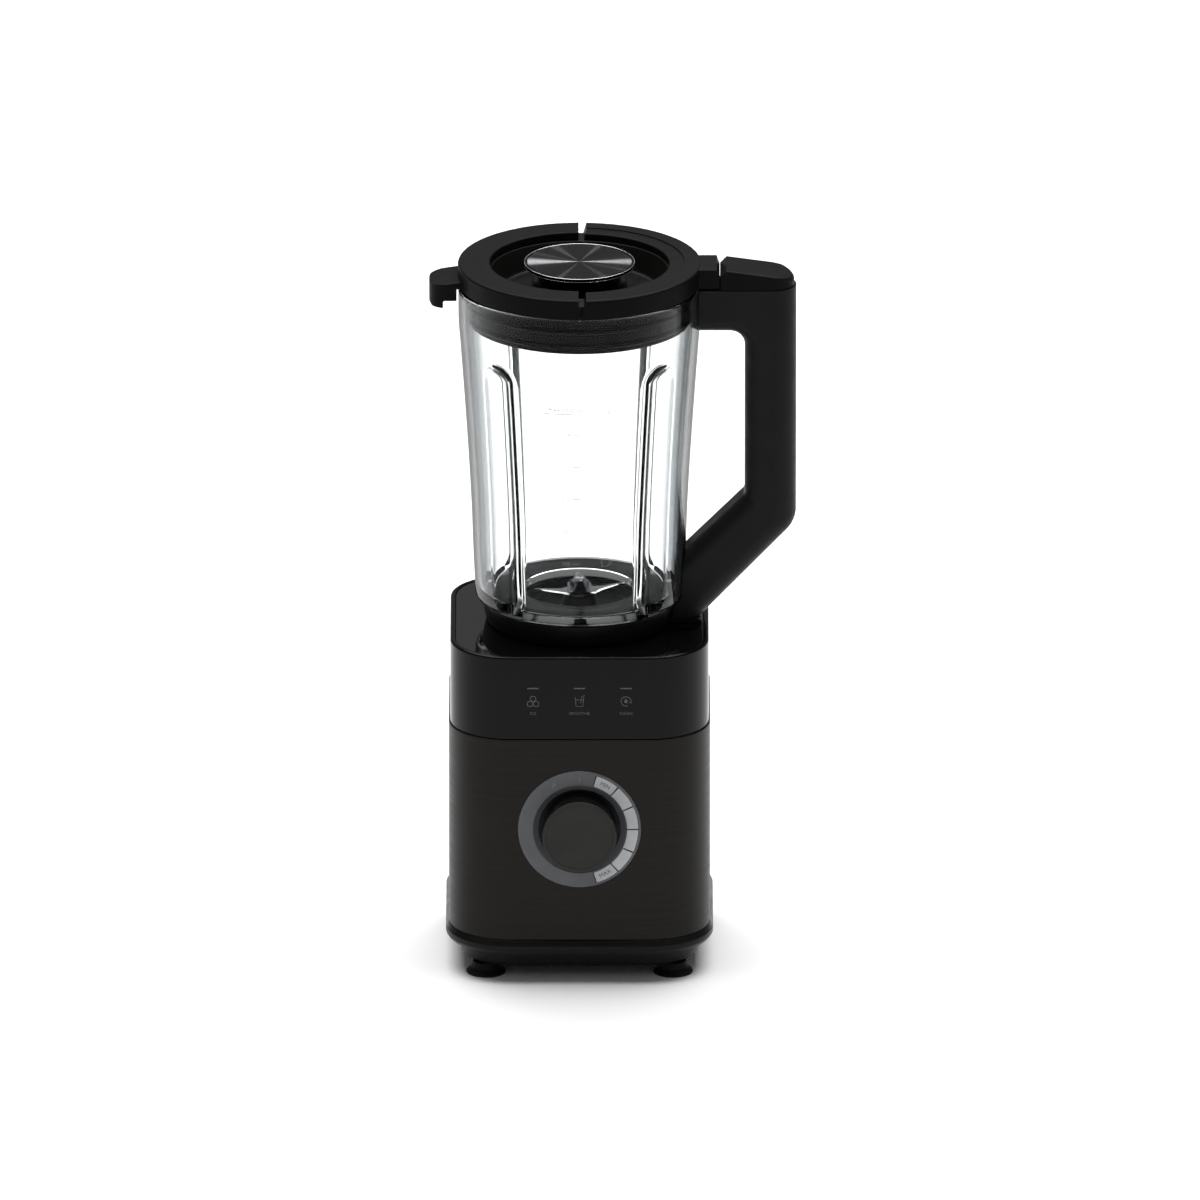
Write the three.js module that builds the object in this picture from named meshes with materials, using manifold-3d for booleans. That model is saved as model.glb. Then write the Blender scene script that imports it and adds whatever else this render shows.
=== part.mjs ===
// A countertop blender: motor base, glass jug with its blade unit, handle, lid and measuring cap.
// Millimetres, +Z up. The front faces -Y, the handle is at +X and the pouring beak at -X.
// Everything is drawn round the drive axis and then set down with the origin under the box's centre.
import * as THREE from 'three';
import { mergeVertices } from 'three/addons/utils/BufferGeometryUtils.js';
import Module from 'manifold-3d';

const wasm = await Module();
wasm.setup();

// ---------------------------------------------------------------- driving dimensions

const GAP = 0.3;               // clearance left between pieces that touch
const OVERSHOOT = 2;           // how far a cutting tool runs past what it cuts
const WELD = 0.5;              // how far a piece runs into the one it is joined to

const CURVE_STEPS = 3;         // half the segments in a quarter of a rounded corner
const ROUND_STEPS = 18;        // sides of a middle-sized round piece
const FINE_STEPS = 32;         // sides of a large round piece
const SMALL_STEPS = 8;         // sides of a shaft, screw or pin
const SCALE_STEPS = 8;         // half the segments along the speed scale

const BODY = {
  halfWidth: 79.65,            // brushed metal sleeve, side to side
  halfDepth: 77.2,             // and front to back
  cornerRadius: 38,
  wall: 1.5,
  bottom: 28.5,
  top: 157.7,
};

const BAND = {                 // the control housing above the sleeve
  inset: 0.8,                  // how far it stands inside the sleeve's faces
  top: 210.9,
  wall: 2.5,
  rim: 3.0,                    // width of the rim round the top plate
  ledgeTop: 206.9,
  ledgeThickness: 3,
  ledgeWidth: 4.2,
  skirtDepth: 9,               // how far it reaches down inside the sleeve
};

const TOP_PLATE = { thickness: 3.2, top: 210.4, holeRadius: 42.3 };

const TRAY = {
  bottom: 7.8,
  lowerInset: 5.6,             // the lower tub stands in from the sleeve
  tubChamfer: 2.4,
  bumperBottom: 18.5,
  bumperProud: 1.9,            // the bumper stands out from the sleeve
  bumperChamfer: 2.2,
  floorThickness: 3.6,
  wall: 3,
  ventCount: 7,
  ventPitch: 9,
  ventWidth: 4,
  ventLength: 44,
};

const FOOT = {
  x: 57,
  y: 54,
  soleRadius: 12.3,
  soleHeight: 1.2,
  neckRadius: 8,
  cupRadius: 9.2,              // the hollow under the suction cup
  cupDepth: 1.6,
  stemRadius: 3,
  stemTop: 14,
};

const BOSS = {                 // long screw bosses under the control housing
  x: 44,
  y: 62,
  radius: 4.6,
  holeRadius: 2.2,
  bottom: 31,
  ribWidth: 2.6,
  ribBottom: 152,
};

const SCREW = { radius: 1.9, headRadius: 3.6, headHeight: 1.8, recess: 2.2, top: 46 };

const DIAL = {
  height: 100.4,               // centre of the dial above the floor
  ringInner: 25.8,
  dishOuter: 28.3,             // inside this the ring dips towards the knob
  dishDepth: 3,
  ringOuter: 37.5,
  ringProud: 0.8,
  ringDepth: 3.6,
  flangeOuter: 40.5,
  flangeThickness: 1.6,
  scaleInner: 29,
  scaleOuter: 35.8,
  scaleProud: 1.1,
  scaleDepth: 1.4,
  scaleStart: 16.5,            // degrees clockwise from the top
  scaleEnd: 163.5,
};

const KNOB = {
  radius: 22.6,
  proud: 15.5,
  edge: 1.4,
  wall: 2.4,
  skirtBehind: 0.9,            // how far its skirt goes behind the sleeve's face
  bossRadius: 6,
  shaftRadius: 3,
  shaftTip: 12.5,
  shaftRoot: -17,
};

const MOTOR = {
  shaftRadius: 4,
  shaftBottom: 46,
  shaftTop: 204.6,
  fanRadius: 40,
  fanBottom: 48,
  fanTop: 60,
  fanBackplate: 2,
  fanHub: 9,
  fanVanes: 9,
  fanVaneWidth: 2,
  fanVaneReach: 39,
  lowerBracketBottom: 66,
  lowerBracketTop: 78,
  bracketPlate: 4,
  bracketHalfWidth: 50,
  bracketHalfDepth: 17,
  bracketBore: 6,
  bearingRadius: 11,
  bearingHeight: 7,
  cupWall: 3,
  commutatorRadius: 12,
  commutatorBottom: 80.5,
  commutatorTop: 94,
  brushWidth: 10,
  brushInner: 12.6,
  brushOuter: 32,
  brushBottom: 78.6,
  brushTop: 89.5,
  stackBottom: 100,
  stackTop: 140,
  stackHalfWidth: 40,
  stackHalfDepth: 37,
  stackCorner: 8,
  stackBore: 25.6,
  armatureRadius: 24.6,
  armatureSlots: 12,
  armatureSlotWidth: 2.6,
  armatureSlotDepth: 5,
  coilInner: 25.9,
  coilOuter: 33.9,
  coilLegNear: 20.4,
  coilLegFar: 31.4,
  coilTurnHeight: 7.5,
  upperBracketBottom: 152,
  upperBracketTop: 166,
  mountX: 34,
  mountRadius: 7,
  mountBore: 2,
  mountHeight: 8,
};

const SEAT = {                 // the well in the top of the base that the jug stands over
  wellOuter: 42,
  wellInner: 39.5,
  floorBottom: 194,
  floorTop: 196.4,
  shaftHole: 8,
  rimOuter: 46.5,
  rimTop: 215.6,
  rimBottom: 210.7,
  rimDraft: 0.8,
  legRadius: 5,
};

const PIN = {                  // interlock plunger and its switch
  y: 44.2,
  radius: 2,
  bottom: 190.2,
  top: 215.9,
  switchHalfWidth: 7,
  switchBottom: 176,
  switchTop: 189.9,
  switchDepth: 12,
};

const COUPLING = {
  flangeRadius: 15,
  flangeBottom: 196.9,
  flangeTop: 200.9,
  starTop: 208.2,
  starMean: 7.75,
  starWave: 1.25,
  starLobes: 6,
  starSteps: 48,
  play: 0.4,
  socketBottom: 201.3,
  socketTop: 208.7,
  socketOuter: 13.5,
  socketHubTop: 211.3,
};

const COLLAR = {
  bottom: 210.7,
  top: 224.7,
  lowerRadius: 56.7,
  middleRadius: 58.6,
  middleHeight: 218,
  upperRadius: 59.4,
  skirtInner: 48,
  ledgeInner: 38.2,
  ledgeBottom: 216.2,
  ledgeTop: 219.2,
  pocketRadius: 43.6,
  tabRoot: 52.7,
  tabOuter: 74,
  tabHalfWidth: 12,
  tabTop: 214,
};

const BLADE_BASE = {
  cupOuter: 37.8,
  cupInner: 31.5,
  mouthRadius: 33.8,
  cupFloorTop: 217.4,
  cupFloorBottom: 213.8,
  flangeRadius: 43.2,
  flangeBottom: 219.5,
  flangeTop: 222.6,
  bossRadius: 10.4,
  bossTop: 226,
  bossDraft: 1.2,
  bossBottom: 211.9,
  bushRadius: 6.6,
};

const BLADE_UNIT = {
  shaftRadius: 3.5,
  shaftBottom: 209,
  shaftTop: 237,
  lowerHeight: 226.9,
  upperHeight: 229.1,
  sheet: 1.8,
  rootHalfWidth: 8,
  tipHalfWidth: 2,
  flatHalf: 9,
  upperReach: 25,
  upperRise: 13.5,
  upperRearRise: 1.5,
  lowerReach: 28,
  lowerRise: 3.5,
  upperYaw: 92,                // degrees: one arm points to the front
  lowerYaw: 12,
  nutRadius: 5.8,
  nutTop: 235,
};

const JUG = {
  bottom: 225,
  floorTop: 230,
  floorOpening: 34,
  rimTop: 426.5,
  wall: 3.9,
  innerCorner: 3,
  outline: [                   // outer radius at each height, above the rounded bottom corner
    [60, 225],
    [62.4, 226.2],
    [63.5, 229],
    [64.7, 253],
    [66.1, 290],
    [69.1, 340],
    [72.6, 389],
    [73.6, 402],
    [73.8, 426.5],
  ],
  ribs: 4,
  ribFirstAngle: 45,
  ribOuterCut: 7.5,            // radius of the groove outside
  ribInnerBulge: 11.2,         // radius of the ridge inside
  ribLowRadius: 64.5,          // the groove's centre line at the bottom
  ribHighRadius: 72.5,         // and at the top of the arch
  ribBottom: 232,
  ribTop: 378.5,
};

const GASKET = { bottom: 222.9, top: 224.7, inner: 34.3, outer: 43.2 };

const HANDLE = {
  halfWidth: 15.5,
  gripInner: 100.6,
  outer: 132,
  top: 425.3,
  blockBottom: 398,
  innerCornerRadius: 9,
  innerCornerHeight: 292.5,
  diagonalJugX: 67.8,
  diagonalJugZ: 259.6,
  footX: 74.4,
  footBottom: 214.3,
  outerCornerZ: 274.9,
  outerCornerRadius: 12,
  endRadius: 14.5,
  rootX: 50,
  clearance: 0.35,
};

const HANDLE_CAP = {
  left: 85.6,
  lipTop: 434.2,
  crestX: 89.6,
  crestTop: 438.4,
  kneeX: 117.4,
  kneeTop: 434.4,
  right: 130.8,
  endTop: 431,
  bottom: 425.6,
  halfWidth: 15,
  endRadius: 14,
};

const HANDLE_SCREW = { x: 68.6, radius: 1.9, headRadius: 3.4, headHeight: 1.9, top: 232 };

const LID = {
  bottom: 427,
  top: 439.6,
  outer: 74.1,
  edge: 1,
  ringInner: 54.6,
  wellRim: 53.6,
  coverThickness: 5,
  coverWall: 4.4,
  flangeRadius: 69.3,
  flangeTop: 434.3,
  slitLeft: -0.6,
  slitRight: 2.4,
  plugRadius: 67.6,
  plugInner: 64.5,
  plugBottom: 405.3,
  lipOuter: 69.3,
  lipHeight: 2,
  lipLow: 407.5,
  lipHigh: 416.5,
  gasketWall: 1.2,
  gasketSkirt: 1,
  grooveRadius: 66.6,
  wellFloor: 420,
  wellFloorBottom: 417,
  wellFloorRadius: 49.5,
  socketInner: 26,
  socketOuter: 29,
  socketTop: 426,
  socketBottom: 409,
  stepRadius: 64,
  stepDepth: 0.8,
};

const BEAK = {
  tipX: -91.5,
  rootTop: 431.6,
  tipTop: 428.9,
  tipBottom: 417,
  hookBottom: 415,
  hookBack: -83,
  hookDraft: 2,
  notchBack: -74.8,
  notchTop: 419.6,
  halfWidth: 16.5,
  tipRadius: 12,
};

const TAB = {
  halfWidth: 14.5,
  top: 439,
  shoulderX: 74.6,
  crestX: 83.5,
  tongueX: 85.3,
  tongueTop: 433.8,
  bottom: 426.6,
};

const CAP = {
  discRadius: 33.7,
  discTop: 439.6,
  discThickness: 2.4,
  neckRadius: 25.4,
  neckInner: 22.8,
  neckBottom: 401,
  neckRoof: 436.2,             // the inside of the cup ends here
  shoulderRadius: 28.4,        // the bead that rests on the lid's socket
  shoulderBottom: 426.3,
  shoulderTop: 428.3,
  rimWidth: 1.6,
  insertRecess: 0.7,
  insertThickness: 0.4,
};

const BOARD = { thickness: 1.6, controlY: -50, controlHalf: 38, controlLow: 62, controlHigh: 140 };
const TOUCH = { y: -71.6, halfWidth: 38, low: 168, high: 200 };
const SWITCH = { half: 15, front: -63, back: -52, shaftHole: 3.4, noseRadius: 6.6, noseLength: 6 };

const GLAND = {                // a grommet in the back of the sleeve
  height: 44,
  bore: 3.9,
  stemRadius: 6.2,
  flangeRadius: 9,
  flangeProud: 3.2,
  flangeChamfer: 1,
  innerFlangeRadius: 7.8,
  innerFlangeThickness: 2,
};

const COLORS = {
  blackPlastic: 0x1d1d1c,
  glossBlack: 0x101012,
  softBlack: 0x262626,
  blackMetal: 0x252422,
  dialGrey: 0x58595c,
  scaleGrey: 0xa9aaac,
  steel: 0xc4c6c8,
  copper: 0xb46a3c,
  rubber: 0x141414,
  board: 0x1f5a34,
  glass: 0xe4ecee,
  brass: 0xb89a5a,
};

// ---------------------------------------------------------------- solids

// Closed geometry to a solid: shared vertices are merged and slivers on the axis dropped.
function toSolid(geometry) {
  const bare = geometry.clone();
  bare.deleteAttribute('normal');
  bare.deleteAttribute('uv');
  const merged = mergeVertices(bare, 1e-4);
  const corners = [];
  for (let i = 0; i < merged.index.count; i += 3) {
    const a = merged.index.getX(i);
    const b = merged.index.getX(i + 1);
    const c = merged.index.getX(i + 2);
    if (a !== b && b !== c && c !== a) corners.push(a, b, c);
  }
  return new wasm.Manifold(new wasm.Mesh({
    numProp: 3,
    vertProperties: new Float32Array(merged.attributes.position.array),
    triVerts: new Uint32Array(corners),
  }));
}

function toGeometry(solid) {
  const mesh = solid.getMesh();
  const geometry = new THREE.BufferGeometry();
  geometry.setAttribute('position', new THREE.BufferAttribute(new Float32Array(mesh.vertProperties), 3));
  geometry.setIndex(new THREE.BufferAttribute(new Uint32Array(mesh.triVerts), 1));
  geometry.computeVertexNormals();
  return geometry;
}

// A turned solid about Z from a closed outline of [radius, height] points.
function turned(outline, steps = ROUND_STEPS) {
  const points = outline.map(([radius, height]) => new THREE.Vector2(radius, height));
  if (THREE.ShapeUtils.isClockWise(points)) points.reverse();
  const onAxis = points.filter((point) => point.x === 0);
  if (onAxis.length === 0) {
    points.push(points[0].clone());
  } else {
    while (!(points[0].x === 0 && points[points.length - 1].x === 0)) points.push(points.shift());
  }
  return toSolid(new THREE.LatheGeometry(points, steps).rotateX(Math.PI / 2));
}

function ring(inner, outer, low, high, steps = ROUND_STEPS) {
  return turned([[inner, low], [outer, low], [outer, high], [inner, high]], steps);
}

function rod(radius, low, high, x = 0, y = 0, steps = SMALL_STEPS) {
  const geometry = new THREE.CylinderGeometry(radius, radius, high - low, steps);
  return toSolid(geometry.rotateX(Math.PI / 2).translate(x, y, (low + high) / 2));
}

function block(x0, x1, y0, y1, z0, z1) {
  const geometry = new THREE.BoxGeometry(x1 - x0, y1 - y0, z1 - z0);
  return toSolid(geometry.translate((x0 + x1) / 2, (y0 + y1) / 2, (z0 + z1) / 2));
}

function roundedRectangle(halfX, halfY, radius) {
  const shape = new THREE.Shape();
  shape.moveTo(-halfX + radius, -halfY);
  shape.lineTo(halfX - radius, -halfY);
  shape.absarc(halfX - radius, -halfY + radius, radius, -Math.PI / 2, 0, false);
  shape.absarc(halfX - radius, halfY - radius, radius, 0, Math.PI / 2, false);
  shape.absarc(-halfX + radius, halfY - radius, radius, Math.PI / 2, Math.PI, false);
  shape.absarc(-halfX + radius, -halfY + radius, radius, Math.PI, 1.5 * Math.PI, false);
  return shape;
}

function upright(shape, low, high, steps = CURVE_STEPS) {
  const options = { depth: high - low, bevelEnabled: false, curveSegments: steps };
  return toSolid(new THREE.ExtrudeGeometry(shape, options).translate(0, 0, low));
}

// An upright prism of the sleeve's plan, set in by inset, with its lower edge chamfered if asked.
function bodyPrism(inset, low, high, chamfer = 0) {
  const plan = (extra) => roundedRectangle(
    BODY.halfWidth - inset - extra,
    BODY.halfDepth - inset - extra,
    BODY.cornerRadius - inset - extra,
  );
  if (chamfer === 0) return upright(plan(0), low, high);
  const options = {
    depth: high - low - chamfer,
    bevelEnabled: true,
    bevelSegments: 1,
    bevelSize: chamfer,
    bevelThickness: chamfer,
    curveSegments: CURVE_STEPS,
  };
  const both = toSolid(new THREE.ExtrudeGeometry(plan(chamfer), options).translate(0, 0, low + chamfer));
  const reach = BODY.halfWidth * 2;
  return both.subtract(block(-reach, reach, -reach, reach, high, high + reach));
}

// A side outline of [x, z] points, drawn out along Y.
function sideProfile(shape, halfWidth, steps = CURVE_STEPS) {
  const options = { depth: 2 * halfWidth, bevelEnabled: false, curveSegments: steps };
  const geometry = new THREE.ExtrudeGeometry(shape, options).rotateX(Math.PI / 2);
  return toSolid(geometry.translate(0, halfWidth, 0));
}

function polygon(points) {
  return new THREE.Shape(points.map(([x, y]) => new THREE.Vector2(x, y)));
}

function turnedAbout(solid, degrees) {
  return solid.rotate([0, 0, degrees]);
}

function radians(degrees) {
  return (degrees * Math.PI) / 180;
}

// ---------------------------------------------------------------- base

function foot(x, y) {
  const neckBottom = FOOT.soleHeight + (FOOT.soleRadius - FOOT.neckRadius) / 2;
  return turned([
    [0, FOOT.cupDepth],
    [FOOT.cupRadius, 0],
    [FOOT.soleRadius, 0],
    [FOOT.soleRadius, FOOT.soleHeight],
    [FOOT.neckRadius, neckBottom],
    [FOOT.neckRadius, TRAY.bottom - GAP],
    [FOOT.stemRadius, TRAY.bottom - GAP],
    [FOOT.stemRadius, FOOT.stemTop],
    [0, FOOT.stemTop],
  ], ROUND_STEPS).translate([x, y, 0]);
}

function bottomTray() {
  const rim = BODY.bottom - GAP;
  const innerInset = TRAY.lowerInset + TRAY.wall;
  const tub = bodyPrism(TRAY.lowerInset, TRAY.bottom, rim, TRAY.tubChamfer);
  const bumper = bodyPrism(-TRAY.bumperProud, TRAY.bumperBottom, rim, TRAY.bumperChamfer);
  const hollow = bodyPrism(innerInset, TRAY.bottom + TRAY.floorThickness, rim + OVERSHOOT);
  let tray = tub.add(bumper).subtract(hollow);
  for (const side of [-1, 1]) {
    for (const end of [-1, 1]) {
      const low = TRAY.bottom - OVERSHOOT;
      const high = TRAY.bottom + TRAY.floorThickness + OVERSHOOT;
      tray = tray.subtract(rod(FOOT.stemRadius + GAP, low, high, side * FOOT.x, end * FOOT.y));
      tray = tray.subtract(rod(BOSS.holeRadius, low, high, side * BOSS.x, end * BOSS.y));
      const recessTop = TRAY.bottom + SCREW.recess;
      tray = tray.subtract(rod(SCREW.headRadius + GAP, low, recessTop, side * BOSS.x, end * BOSS.y));
    }
  }
  for (let i = 0; i < TRAY.ventCount; i += 1) {
    const x = (i - (TRAY.ventCount - 1) / 2) * TRAY.ventPitch;
    const half = TRAY.ventLength / 2;
    const slot = block(x - TRAY.ventWidth / 2, x + TRAY.ventWidth / 2, -half, half, 0, BODY.bottom);
    tray = tray.subtract(slot);
  }
  return tray;
}

// The gland's own axis is Z, pointing out of the back once it is turned.
function cordGland() {
  const inside = -(BODY.wall + GAP);
  return turned([
    [GLAND.bore, inside - GLAND.innerFlangeThickness],
    [GLAND.innerFlangeRadius, inside - GLAND.innerFlangeThickness],
    [GLAND.innerFlangeRadius, inside],
    [GLAND.stemRadius, inside],
    [GLAND.stemRadius, GAP],
    [GLAND.flangeRadius, GAP],
    [GLAND.flangeRadius - GLAND.flangeChamfer, GLAND.flangeProud],
    [GLAND.bore, GLAND.flangeProud],
  ], ROUND_STEPS);
}

function trayScrew(x, y) {
  const headBottom = TRAY.bottom + SCREW.recess - SCREW.headHeight - GAP;
  const headTop = headBottom + SCREW.headHeight;
  return turned([
    [0, headBottom],
    [SCREW.headRadius, headBottom],
    [SCREW.headRadius, headTop],
    [SCREW.radius, headTop],
    [SCREW.radius, SCREW.top],
    [0, SCREW.top],
  ], SMALL_STEPS).translate([x, y, 0]);
}

function bodyShell() {
  const outside = bodyPrism(0, BODY.bottom, BODY.top);
  const inside = bodyPrism(BODY.wall, BODY.bottom - OVERSHOOT, BODY.top + OVERSHOOT);
  const dialHole = rod(DIAL.ringOuter + GAP, -OVERSHOOT, BODY.wall + OVERSHOOT, 0, 0, FINE_STEPS);
  const dialOpening = dialHole.rotate([-90, 0, 0]).translate([0, -BODY.halfDepth, DIAL.height]);
  const glandHole = rod(GLAND.stemRadius + GAP, -OVERSHOOT, BODY.wall + OVERSHOOT, 0, 0, ROUND_STEPS);
  const glandOpening = glandHole.rotate([90, 0, 0]).translate([0, BODY.halfDepth, GLAND.height]);
  return outside.subtract(inside).subtract(dialOpening).subtract(glandOpening);
}

function controlHousing() {
  const low = BODY.top + GAP;
  const skirtInset = BODY.wall + GAP;
  const innerInset = BAND.inset + BAND.wall;
  const ledgeBottom = BAND.ledgeTop - BAND.ledgeThickness;
  let housing = bodyPrism(BAND.inset, low, BAND.top);
  housing = housing.add(bodyPrism(skirtInset, BODY.top - BAND.skirtDepth, low + WELD));
  const hollowBottom = BODY.top - BAND.skirtDepth - OVERSHOOT;
  housing = housing.subtract(bodyPrism(skirtInset + BAND.wall, hollowBottom, ledgeBottom));
  const mouth = bodyPrism(innerInset + BAND.ledgeWidth, ledgeBottom - OVERSHOOT, BAND.top + OVERSHOOT);
  housing = housing.subtract(mouth);
  housing = housing.subtract(bodyPrism(BAND.inset + BAND.rim, BAND.ledgeTop, BAND.top + OVERSHOOT));
  for (const side of [-1, 1]) {
    for (const end of [-1, 1]) {
      const x = side * BOSS.x;
      const y = end * BOSS.y;
      const wallY = end * (BODY.halfDepth - innerInset + WELD);
      const rib = block(
        x - BOSS.ribWidth / 2,
        x + BOSS.ribWidth / 2,
        Math.min(y, wallY),
        Math.max(y, wallY),
        BOSS.ribBottom,
        ledgeBottom + WELD,
      );
      housing = housing.add(rod(BOSS.radius, BOSS.bottom, ledgeBottom + WELD, x, y)).add(rib);
      housing = housing.subtract(rod(BOSS.holeRadius, BOSS.bottom - OVERSHOOT, SCREW.top + GAP, x, y));
    }
  }
  return housing;
}

function topPlate() {
  const low = TOP_PLATE.top - TOP_PLATE.thickness;
  const plate = bodyPrism(BAND.inset + BAND.rim + GAP, low, TOP_PLATE.top);
  const hole = rod(TOP_PLATE.holeRadius, low - OVERSHOOT, TOP_PLATE.top + OVERSHOOT, 0, 0, FINE_STEPS);
  const pinHole = rod(PIN.radius + 2 * GAP, low - OVERSHOOT, TOP_PLATE.top + OVERSHOOT, 0, PIN.y);
  return plate.subtract(hole).subtract(pinHole);
}

function driveSeat() {
  let seat = turned([
    [SEAT.shaftHole, SEAT.floorBottom],
    [SEAT.wellOuter, SEAT.floorBottom],
    [SEAT.wellOuter, SEAT.rimBottom],
    [SEAT.rimOuter, SEAT.rimBottom],
    [SEAT.rimOuter - SEAT.rimDraft, SEAT.rimTop],
    [SEAT.wellInner, SEAT.rimTop],
    [SEAT.wellInner, SEAT.floorTop],
    [SEAT.shaftHole, SEAT.floorTop],
  ], FINE_STEPS);
  const legBottom = MOTOR.upperBracketTop + MOTOR.mountHeight + 2 * GAP;
  for (const side of [-1, 1]) {
    seat = seat.add(rod(SEAT.legRadius, legBottom, SEAT.floorBottom + WELD, side * MOTOR.mountX, 0));
  }
  const pinHole = rod(PIN.radius + GAP, SEAT.floorBottom - OVERSHOOT, SEAT.rimTop + OVERSHOOT, 0, PIN.y);
  return seat.subtract(pinHole);
}

// Parts of the dial are drawn with +Z out of the front face and +Y up.
function dialRing() {
  const front = DIAL.ringProud;
  const back = front - DIAL.ringDepth - DIAL.flangeThickness;
  const flangeFront = -BODY.wall - GAP;
  const body = turned([
    [DIAL.ringInner, back],
    [DIAL.flangeOuter, back],
    [DIAL.flangeOuter, flangeFront],
    [DIAL.ringOuter, flangeFront],
    [DIAL.ringOuter, front],
    [DIAL.dishOuter, front],
    [DIAL.ringInner, front - DIAL.dishDepth],
  ], FINE_STEPS);
  const pocket = scaleSector(GAP, DIAL.scaleProud - DIAL.scaleDepth - GAP, front + OVERSHOOT);
  return body.subtract(pocket);
}

function scaleSector(margin, low, high) {
  const start = radians(90 - DIAL.scaleStart) + margin / DIAL.scaleInner;
  const end = radians(90 - DIAL.scaleEnd) - margin / DIAL.scaleInner;
  const sector = new THREE.Shape();
  sector.absarc(0, 0, DIAL.scaleOuter + margin, start, end, true);
  sector.absarc(0, 0, DIAL.scaleInner - margin, end, start, false);
  return upright(sector, low, high, SCALE_STEPS);
}

function speedScale() {
  return scaleSector(0, DIAL.scaleProud - DIAL.scaleDepth, DIAL.scaleProud);
}

function controlKnob() {
  const face = KNOB.proud;
  const cupFloor = face - KNOB.wall;
  return turned([
    [KNOB.shaftRadius + GAP, -KNOB.skirtBehind],
    [KNOB.bossRadius, -KNOB.skirtBehind],
    [KNOB.bossRadius, cupFloor],
    [KNOB.radius - KNOB.wall, cupFloor],
    [KNOB.radius - KNOB.wall, -KNOB.skirtBehind],
    [KNOB.radius, -KNOB.skirtBehind],
    [KNOB.radius, face - KNOB.edge],
    [KNOB.radius - KNOB.edge, face],
    [0, face],
    [0, KNOB.shaftTip + GAP],
    [KNOB.shaftRadius + GAP, KNOB.shaftTip + GAP],
  ], FINE_STEPS);
}

function knobShaft() {
  return rod(KNOB.shaftRadius, KNOB.shaftRoot, KNOB.shaftTip);
}

function rotarySwitch() {
  const low = DIAL.height - SWITCH.half;
  const high = DIAL.height + SWITCH.half;
  const box = block(-SWITCH.half, SWITCH.half, SWITCH.front, SWITCH.back, low, high);
  const nose = rod(SWITCH.noseRadius, -WELD, SWITCH.noseLength, 0, 0, ROUND_STEPS)
    .rotate([90, 0, 0])
    .translate([0, SWITCH.front, DIAL.height]);
  const bore = rod(SWITCH.shaftHole, 0, -KNOB.shaftRoot + GAP)
    .rotate([-90, 0, 0])
    .translate([0, -BODY.halfDepth, DIAL.height]);
  return box.add(nose).subtract(bore);
}

function controlBoard() {
  const { controlY, controlHalf, controlLow, controlHigh, thickness } = BOARD;
  return block(-controlHalf, controlHalf, controlY, controlY + thickness, controlLow, controlHigh);
}

function touchBoard() {
  return block(-TOUCH.halfWidth, TOUCH.halfWidth, TOUCH.y, TOUCH.y + BOARD.thickness, TOUCH.low, TOUCH.high);
}

function interlockSwitch() {
  const near = PIN.y - PIN.switchDepth / 2;
  const far = PIN.y + PIN.switchDepth / 2;
  return block(-PIN.switchHalfWidth, PIN.switchHalfWidth, near, far, PIN.switchBottom, PIN.switchTop);
}

function interlockPin() {
  return rod(PIN.radius, PIN.bottom, PIN.top, 0, PIN.y);
}

// ---------------------------------------------------------------- motor

function statorCore() {
  const plan = roundedRectangle(MOTOR.stackHalfWidth, MOTOR.stackHalfDepth, MOTOR.stackCorner);
  let core = upright(plan, MOTOR.stackBottom, MOTOR.stackTop);
  const low = MOTOR.stackBottom - OVERSHOOT;
  const high = MOTOR.stackTop + OVERSHOOT;
  core = core.subtract(rod(MOTOR.stackBore, low, high, 0, 0, ROUND_STEPS));
  for (const side of [-1, 1]) {
    for (const end of [-1, 1]) {
      core = core.subtract(coilLeg(side, end, GAP, low, high));
    }
  }
  return core;
}

function coilLeg(side, end, margin, low, high) {
  const xs = [side * (MOTOR.coilInner - margin), side * (MOTOR.coilOuter + margin)];
  const ys = [end * (MOTOR.coilLegNear - margin), end * (MOTOR.coilLegFar + margin)];
  return block(Math.min(...xs), Math.max(...xs), Math.min(...ys), Math.max(...ys), low, high);
}

function fieldCoil(side) {
  const low = MOTOR.stackBottom - GAP - MOTOR.coilTurnHeight;
  const high = MOTOR.stackTop + GAP + MOTOR.coilTurnHeight;
  const xs = [side * MOTOR.coilInner, side * MOTOR.coilOuter];
  const x0 = Math.min(...xs);
  const x1 = Math.max(...xs);
  const far = MOTOR.coilLegFar;
  let coil = coilLeg(side, 1, 0, low, high).add(coilLeg(side, -1, 0, low, high));
  coil = coil.add(block(x0, x1, -far, far, low, MOTOR.stackBottom - GAP));
  return coil.add(block(x0, x1, -far, far, MOTOR.stackTop + GAP, high));
}

function motorBracket(cupLow, cupHigh, plateLow) {
  const plan = roundedRectangle(MOTOR.bracketHalfWidth, MOTOR.bracketHalfDepth, MOTOR.stackCorner);
  const cupRadius = MOTOR.bearingRadius + GAP + MOTOR.cupWall;
  const plate = upright(plan, plateLow, plateLow + MOTOR.bracketPlate);
  return plate.add(rod(cupRadius, cupLow, cupHigh, 0, 0, ROUND_STEPS));
}

function lowerBracket() {
  const low = MOTOR.lowerBracketBottom;
  const high = MOTOR.lowerBracketTop;
  const shaftHole = rod(MOTOR.bracketBore, low - OVERSHOOT, high + OVERSHOOT);
  const pocketTop = low + MOTOR.bearingHeight + GAP;
  const pocket = rod(MOTOR.bearingRadius + GAP, low - OVERSHOOT, pocketTop, 0, 0, ROUND_STEPS);
  return motorBracket(low, high, high - MOTOR.bracketPlate).subtract(shaftHole).subtract(pocket);
}

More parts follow.
